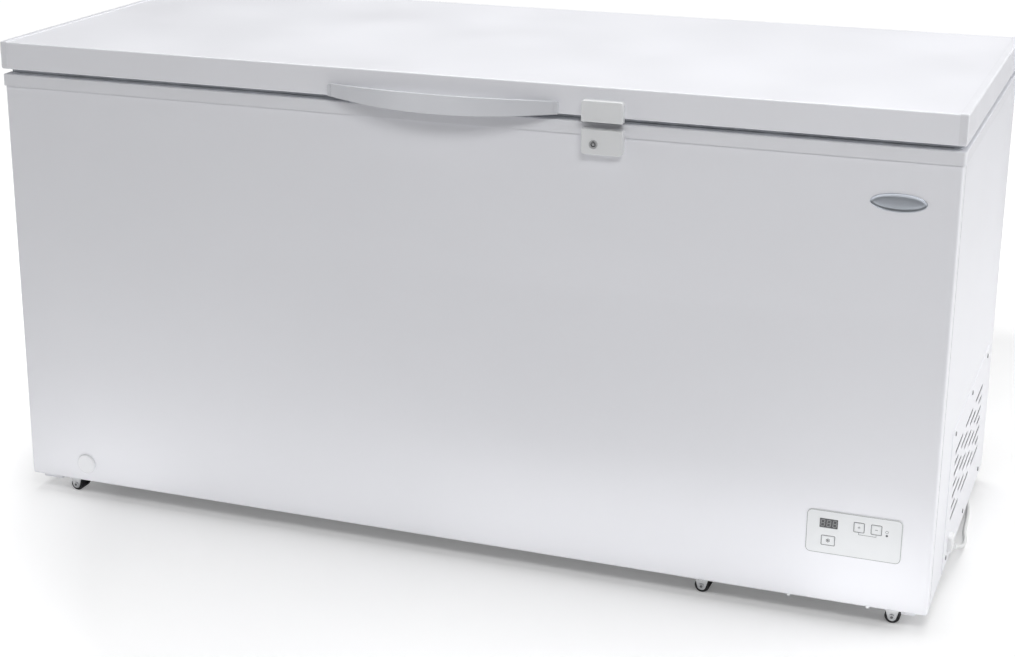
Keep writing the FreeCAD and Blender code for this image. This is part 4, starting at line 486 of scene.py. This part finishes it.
def rounded_route(points, radius, closed=False, steps=5):
    """A route in space with each corner rounded."""
    route = []
    count = len(points)
    for i, point in enumerate(points):
        here = Vector(point)
        if not closed and i in (0, count - 1):
            route.append(here)
            continue
        back = Vector(points[i - 1]) - here
        on = Vector(points[(i + 1) % count]) - here
        reach = min(radius, back.length * 0.45, on.length * 0.45)
        start = here + back.normalized() * reach
        end = here + on.normalized() * reach
        for k in range(steps + 1):
            t = k / steps
            route.append(start * (1 - t) ** 2 + here * 2 * t * (1 - t) + end * t ** 2)
    return route


def wires(name, routes, radius, material, body, sides=3):
    """Round wires along several routes, as one mesh."""
    data = bpy.data.curves.new(name + "_line", "CURVE")
    data.dimensions = "3D"
    data.bevel_depth = radius
    data.bevel_resolution = sides
    data.use_fill_caps = True
    for points, closed in routes:
        spline = data.splines.new("POLY")
        spline.points.add(len(points) - 1)
        for target, point in zip(spline.points, points):
            target.co = (*point, 1.0)
        spline.use_cyclic_u = closed
    holder = bpy.data.objects.new(name + "_line", data)
    mesh = bpy.data.meshes.new_from_object(holder)
    bpy.data.objects.remove(holder)
    mesh.name = name
    mesh.materials.clear()
    mesh.materials.append(material)
    for face in mesh.polygons:
        face.use_smooth = True
    piece = bpy.data.objects.new(name, mesh)
    bpy.context.scene.collection.objects.link(piece)
    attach(piece, body)
    return piece


# ---- camera ----
def make_camera():
    data = bpy.data.cameras.new("camera")
    data.lens = camera_lens
    data.sensor_width = 36.0
    data.shift_x, data.shift_y = camera_shift
    data.clip_end = 100.0
    camera = bpy.data.objects.new("camera", data)
    camera.location = camera_place
    camera.rotation_euler = [math.radians(a) for a in camera_turn]
    bpy.context.scene.collection.objects.link(camera)
    bpy.context.scene.camera = camera


# ---- cord ----
def coil_route():
    """Turns on the floor from the outside in, then turns on top of them from the inside out."""
    outer, middle, inner = coil_rings
    low = cord_diameter / 2
    high = low + cord_diameter
    stations = [(0, outer, low), (330, outer, low), (360, middle, low), (690, middle, low),
                (720, inner, low), (1050, inner, low), (1080, inner, high), (1410, inner, high),
                (1440, middle, high), (1770, middle, high), (1800, outer, high), (2160, outer, high)]
    points = []
    step = 360 / coil_steps_per_turn
    for (a, radius_a, z_a), (b, radius_b, z_b) in zip(stations, stations[1:]):
        count = round((b - a) / step)
        for i in range(count):
            t = i / count
            angle = math.radians(a + (b - a) * t)
            radius = radius_a + (radius_b - radius_a) * t
            x = coil_middle[0] - radius * math.sin(angle)
            y = coil_middle[1] - radius * math.cos(angle)
            points.append((x, y, z_a + (z_b - z_a) * t))
    points.append((coil_middle[0], coil_middle[1] - outer, high))
    return points


def make_cord():
    data = bpy.data.curves.new("mains_cord", "CURVE")
    data.dimensions = "3D"
    data.bevel_depth = cord_diameter / 2
    data.bevel_resolution = 5
    data.resolution_u = 6
    data.use_fill_caps = True
    points = cord_route + coil_route() + [plug_neck]
    spline = data.splines.new("NURBS")
    spline.points.add(len(points) - 1)
    for target, point in zip(spline.points, points):
        target.co = (*point, 1.0)
    spline.order_u = 3
    spline.use_endpoint_u = True
    data.materials.append(looks["cord_white"])
    cord = bpy.data.objects.new("mains_cord", data)
    bpy.context.scene.collection.objects.link(cord)
    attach(cord, "cabinet")
    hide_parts("cord_tube", "cord_coil")
    tie = make_cord_tie()


def make_cord_tie():
    """Flat tie round the turns of the coil."""
    half_width = 0.003
    thickness = 0.0006
    inner = coil_rings[2] - cord_diameter / 2
    outer = coil_rings[0] + cord_diameter / 2
    top = 2 * cord_diameter
    middle = (inner + outer) / 2
    section = rounded_loop(middle - (outer - inner) / 2, middle + (outer - inner) / 2, 0.0005, top, 0.003)
    wrap = rounded_loop(middle - (outer - inner) / 2 - thickness, middle + (outer - inner) / 2 + thickness,
                        0.0, top + thickness, 0.0034)
    angle = math.radians(35)
    along = Vector((math.cos(angle), math.sin(angle), 0.0))
    across = Vector((-math.sin(angle), math.cos(angle), 0.0))
    centre = Vector((*coil_middle, 0.0))
    vertices = []
    for loop, side in ((section, -1), (wrap, -1), (wrap, 1), (section, 1)):
        for reach, z in loop:
            vertices.append(centre + along * reach + across * (side * half_width) + Vector((0, 0, z)))
    count = len(section)
    faces = []
    for band in range(4):
        for i in range(count):
            j = (i + 1) % count
            a, b = band * count, ((band + 1) % 4) * count
            faces.append([a + i, a + j, b + j, b + i])
    return new_piece("cord_tie", vertices, faces, tie_black, "cabinet")


# ---- basket ----
def make_basket():
    """Coated wire basket: rim and belt rings, crossing U wires and two hooks at each end."""
    low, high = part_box("basket")
    thin = 0.0016
    thick = 0.0025
    hook_reach = 0.0213
    hook_rise = 0.005
    hook_drop = 0.03
    play = 0.001
    corner = 0.016
    x0, x1 = low.x + play + thin, high.x - play - thin
    y0, y1 = low.y + hook_reach + thin, high.y - hook_reach - thin
    floor_z = low.z + thin
    rim_z = high.z - hook_rise - thick
    body = "basket"

    def ring(z, grow):
        corners = [(x0 - grow, y0 - grow, z), (x1 + grow, y0 - grow, z), (x1 + grow, y1 + grow, z),
                   (x0 - grow, y1 + grow, z)]
        return rounded_route(corners, corner + grow, closed=True), True

    thin_routes = []
    depth = rim_z - floor_z
    for share in (0.12, 0.34, 0.56, 0.78):
        thin_routes.append(ring(floor_z + depth * share, 2 * thin))
    along_y = 15
    for i in range(along_y + 1):
        y = y0 + corner + (y1 - y0 - 2 * corner) * i / along_y
        route = [(x0, y, rim_z), (x0, y, floor_z + 2 * thin), (x1, y, floor_z + 2 * thin), (x1, y, rim_z)]
        thin_routes.append((rounded_route(route, corner), False))
    along_x = 8
    for i in range(along_x + 1):
        x = x0 + corner + (x1 - x0 - 2 * corner) * i / along_x
        route = [(x, y0, rim_z), (x, y0, floor_z), (x, y1, floor_z), (x, y1, rim_z)]
        thin_routes.append((rounded_route(route, corner), False))
    inset = 0.05
    half = 0.0095
    foot, top = rim_z - hook_drop, rim_z + hook_rise
    thick_routes = [ring(rim_z, 0.0)]
    for x in (x0 + inset, x1 - inset):
        for y, way in ((y0, -1), (y1, 1)):
            end = y + way * (hook_reach + thin - thick)
            route = [(x - half, y, foot), (x - half, y, top), (x - half, end, top),
                     (x + half, end, top), (x + half, y, top), (x + half, y, foot)]
            thick_routes.append((rounded_route(route, 0.005), False))
    mesh = wires("basket_wires", thin_routes, thin, looks["wire_white"], body)
    wires("basket_rim", thick_routes, thick, looks["wire_white"], body, 4)
    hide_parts("basket")


# ---- painted shade lines under the trim and in the seams ----
def make_painted_shade_lines():
    """Thin grey beads as painted shade: a painted shadow line under the top trim and paler painted shade in
    the seams behind the front corners.
    """
    sheet_low, sheet_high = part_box("front_panel")
    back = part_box("back_panel")[1].y
    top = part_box("top_trim")[1].z - trim_skirt
    corners = [(sheet_low.x, sheet_low.y, top), (sheet_high.x, sheet_low.y, top),
               (sheet_high.x, back, top), (sheet_low.x, back, top)]
    ring = [(rounded_route(corners, shade_line_corner, closed=True), True)]
    seam = sheet_high.y + seam_gap / 2
    foot = sheet_low.z + shade_line_foot
    seams = [([(x, seam, foot), (x, seam, top)], False) for x in (sheet_low.x, sheet_high.x)]
    # The ring is a painted shadow line under the trim's edge; the two upright beads are painted shade in
    # the seams.
    wires("trim_painted_shadow_line", ring, shade_line_radius, painted_trim_shadow_grey, "cabinet")
    wires("seam_painted_shade_line", seams, shade_line_radius, painted_seam_shade_grey, "cabinet")


# ---- print and a painted shade line on the control panel ----
def make_panel_print():
    low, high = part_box("control_overlay")
    front = low.y
    lift = print_lift
    # The grey border line is painted shade along the overlay's edge; the key frames and signs below are
    # print.
    line = Shape()
    border = 0.0011
    line.stroke(rounded_loop(low.x + border, high.x - border, low.z + border, high.z - border, 0.0079, 8),
                0.0009, front, lift, True)
    line.build("panel_border", painted_edge_shade_grey, "cabinet")
    frames = Shape()
    gap = key_frame_gap
    for key in ("key_plus", "key_minus", "key_fast_freeze"):
        a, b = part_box(key)
        frame_loop = rounded_loop(a.x - gap, b.x + gap, a.z - gap, b.z + gap, 0.0014, 3)
        frames.stroke(frame_loop, 0.0009, front, lift, True)
    plus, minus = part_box("key_plus"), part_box("key_minus")
    left = (plus[0].x + plus[1].x) / 2
    right = (minus[0].x + minus[1].x) / 2
    top = plus[0].z - gap
    low_line = top - 0.004
    frames.stroke([(left, top), (left, low_line), (right, low_line), (right, top)], thin_line, front, lift)
    lamp_x = minus[1].x + 0.0095
    lamp_z = minus[0].z + 0.006
    frames.stroke(circle_loop(lamp_x, lamp_z, 0.0021, 24), thin_line, front, lift, True)
    frames.slab(circle_loop(lamp_x, lamp_z - 0.0062, 0.0019, 24), front, lift)
    frames.build("panel_icons", ink, "cabinet")
    make_key_print("key_plus", front, [[(-1, 0), (1, 0)], [(0, -1), (0, 1)]], 0.0022)
    make_key_print("key_minus", front, [[(-1, 0), (1, 0)]], 0.0022)
    flake = []
    for i in range(6):
        angle = math.radians(60 * i + 30)
        tip = Vector((math.cos(angle), math.sin(angle)))
        side = Vector((-tip.y, tip.x))
        flake.append([(0, 0), tuple(tip)])
        flake.append([tuple(tip * 0.9 + side * 0.28), tuple(tip * 0.6), tuple(tip * 0.9 - side * 0.28)])
    make_key_print("key_fast_freeze", front, flake, 0.0033)


def make_key_print(key, front, lines, size):
    """A plain sign printed in the middle of a key, which it moves with."""
    low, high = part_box(key)
    middle = ((low.x + high.x) / 2, (low.z + high.z) / 2)
    sign = Shape()
    for points in lines:
        marks = [(middle[0] + x * size, middle[1] + z * size) for x, z in points]
        sign.stroke(marks, sign_width, low.y, print_lift)
    sign.build(key + "_sign", ink, key)


def make_digits():
    """Three unlit digits behind the display window."""
    left, bottom = window_low
    right, top = window_high
    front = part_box("display_board")[0].y
    width, height, bar, lean = 0.0056, 0.0112, 0.0011, 0.08
    digits = Shape()
    z0 = (bottom + top - height) / 2
    pitch = (right - left) / 3

    def bar_between(x, a, b):
        """One bar with pointed ends; a and b are corners of the digit, in shares of its size."""
        start = Vector((a[0] * width, a[1] * height))
        end = Vector((b[0] * width, b[1] * height))
        way = (end - start).normalized()
        side = Vector((-way.y, way.x)) * bar / 2
        start += way * bar * 0.65
        end -= way * bar * 0.65
        tip = way * bar / 2
        loop = [start - tip, start - side, end - side, end + tip, end + side, start + side]
        leaning = [(x + p.x + (p.y - height / 2) * lean, z0 + p.y) for p in loop]
        digits.slab(leaning, front, segment_lift)

    for i in range(3):
        x = left + pitch * (i + 0.5) - width / 2
        for a, b in (((0, 0), (1, 0)), ((0, 0.5), (1, 0.5)), ((0, 1), (1, 1)), ((0, 0), (0, 0.5)),
                     ((0, 0.5), (0, 1)), ((1, 0), (1, 0.5)), ((1, 0.5), (1, 1))):
            bar_between(x, a, b)
    digits.build("display_digits", segment_grey, "cabinet")


# ---- badge ----
def make_badge():
    """Blank oval plate, slightly domed, near the top right of the front."""
    centre_x, centre_z = badge_centre
    half_width, half_height = badge_half_size
    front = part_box("front_panel")[0].y
    steps = 64
    vertices = []
    for share, height in badge_profile:
        for i in range(steps):
            angle = 2 * math.pi * i / steps
            inset = (1 - share) * half_height
            x = centre_x + (half_width - inset) * math.cos(angle)
            z = centre_z + (half_height - inset) * math.sin(angle)
            vertices.append((x, front - badge_rise * height, z))
    faces = [list(range(steps))]
    for ring in range(len(badge_profile) - 1):
        for i in range(steps):
            j = (i + 1) % steps
            a, b = ring * steps, (ring + 1) * steps
            faces.append([a + j, a + i, b + i, b + j])
    last = (len(badge_profile) - 1) * steps
    faces.append([last + i for i in reversed(range(steps))])
    new_piece("blank_badge", vertices, faces, badge_metal, "cabinet", True)


# ---- room ----
def make_floor():
    half = floor_size / 2
    mesh = bpy.data.meshes.new("floor")
    corners = [(-half, -half, 0), (half, -half, 0), (half, half, 0), (-half, half, 0)]
    mesh.from_pydata(corners, [], [[0, 1, 2, 3]])
    shader = Shader("floor_look", (0.86, 0.86, 0.86), 0.55)
    shader.tint(shader.noise(1.5, 2.0), (0.84, 0.84, 0.845), (0.86, 0.86, 0.86))
    tree = shader.tree
    light = tree.nodes.new("ShaderNodeEmission")
    far = tree.nodes.new("ShaderNodeVectorMath")
    far.operation = "DISTANCE"
    far.inputs[1].default_value = floor_middle
    shader.join(shader.place, far.inputs[0])
    tone = shader.spread(far.outputs["Value"], *floor_tone_reach, *floor_tone_strength)
    shader.join(tone, light.inputs["Strength"])
    dark = tree.nodes.new("ShaderNodeEmission")
    dark.inputs["Strength"].default_value = 0.0
    ray = tree.nodes.new("ShaderNodeLightPath")
    pick = tree.nodes.new("ShaderNodeMixShader")
    total = tree.nodes.new("ShaderNodeAddShader")
    shader.join(ray.outputs["Is Camera Ray"], pick.inputs["Fac"])
    shader.join(dark.outputs[0], pick.inputs[1])
    shader.join(light.outputs[0], pick.inputs[2])
    shader.join(shader.bsdf.outputs[0], total.inputs[0])
    shader.join(pick.outputs[0], total.inputs[1])
    shader.join(total.outputs[0], tree.nodes["Material Output"].inputs["Surface"])
    mesh.materials.append(shader.material)
    floor = bpy.data.objects.new("floor", mesh)
    bpy.context.scene.collection.objects.link(floor)


def make_world():
    world = bpy.data.worlds.new("studio")
    bpy.context.scene.world = world
    world.use_nodes = True
    tree = world.node_tree
    shown = tree.nodes.new("ShaderNodeBackground")
    shown.inputs["Strength"].default_value = 1.0
    light = tree.nodes["Background"]
    for node in (shown, light):
        node.inputs["Color"].default_value = (1.0, 1.0, 1.0, 1.0)
    light.inputs["Strength"].default_value = ambient_strength
    ray = tree.nodes.new("ShaderNodeLightPath")
    pick = tree.nodes.new("ShaderNodeMixShader")
    tree.links.new(ray.outputs["Is Camera Ray"], pick.inputs["Fac"])
    tree.links.new(light.outputs[0], pick.inputs[1])
    tree.links.new(shown.outputs[0], pick.inputs[2])
    tree.links.new(pick.outputs[0], tree.nodes["World Output"].inputs["Surface"])


def make_lamp(name, place, size, watts, aim):
    data = bpy.data.lights.new(name, "AREA")
    data.shape = "RECTANGLE"
    data.size, data.size_y = size
    data.energy = watts
    lamp = bpy.data.objects.new(name, data)
    lamp.location = place
    way = Vector(aim) - Vector(place)
    lamp.rotation_euler = way.to_track_quat("-Z", "Y").to_euler()
    lamp.visible_camera = False
    bpy.context.scene.collection.objects.link(lamp)


make_camera()
dress_nodes()
make_cord()
second_look("mains_plug", nickel, lambda middle: middle.z > plug_pins_start)
second_look("display_board", board_green, lambda middle: middle.y > board_face_start)
second_look("fasteners", dark_screw_and_hollow_shade_grey, lambda middle: middle.x > vent_screw_face)
wheel_boxes = [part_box(f"caster_wheel_{i}") for i in range(1, 7)]
caster_wheels = [((low + high) / 2, (high.y - low.y) / 2) for low, high in wheel_boxes]
# The hollow ends of the rivets get the dark grey as painted shade in the recess.
second_look("caster_axles", dark_screw_and_hollow_shade_grey, in_rivet_hollow)
make_basket()
make_panel_print()
make_digits()
make_badge()
make_painted_shade_lines()
make_floor()
make_world()
for name, values in lamps.items():
    make_lamp(name, *values)
bpy.context.scene.view_settings.view_transform = "Standard"
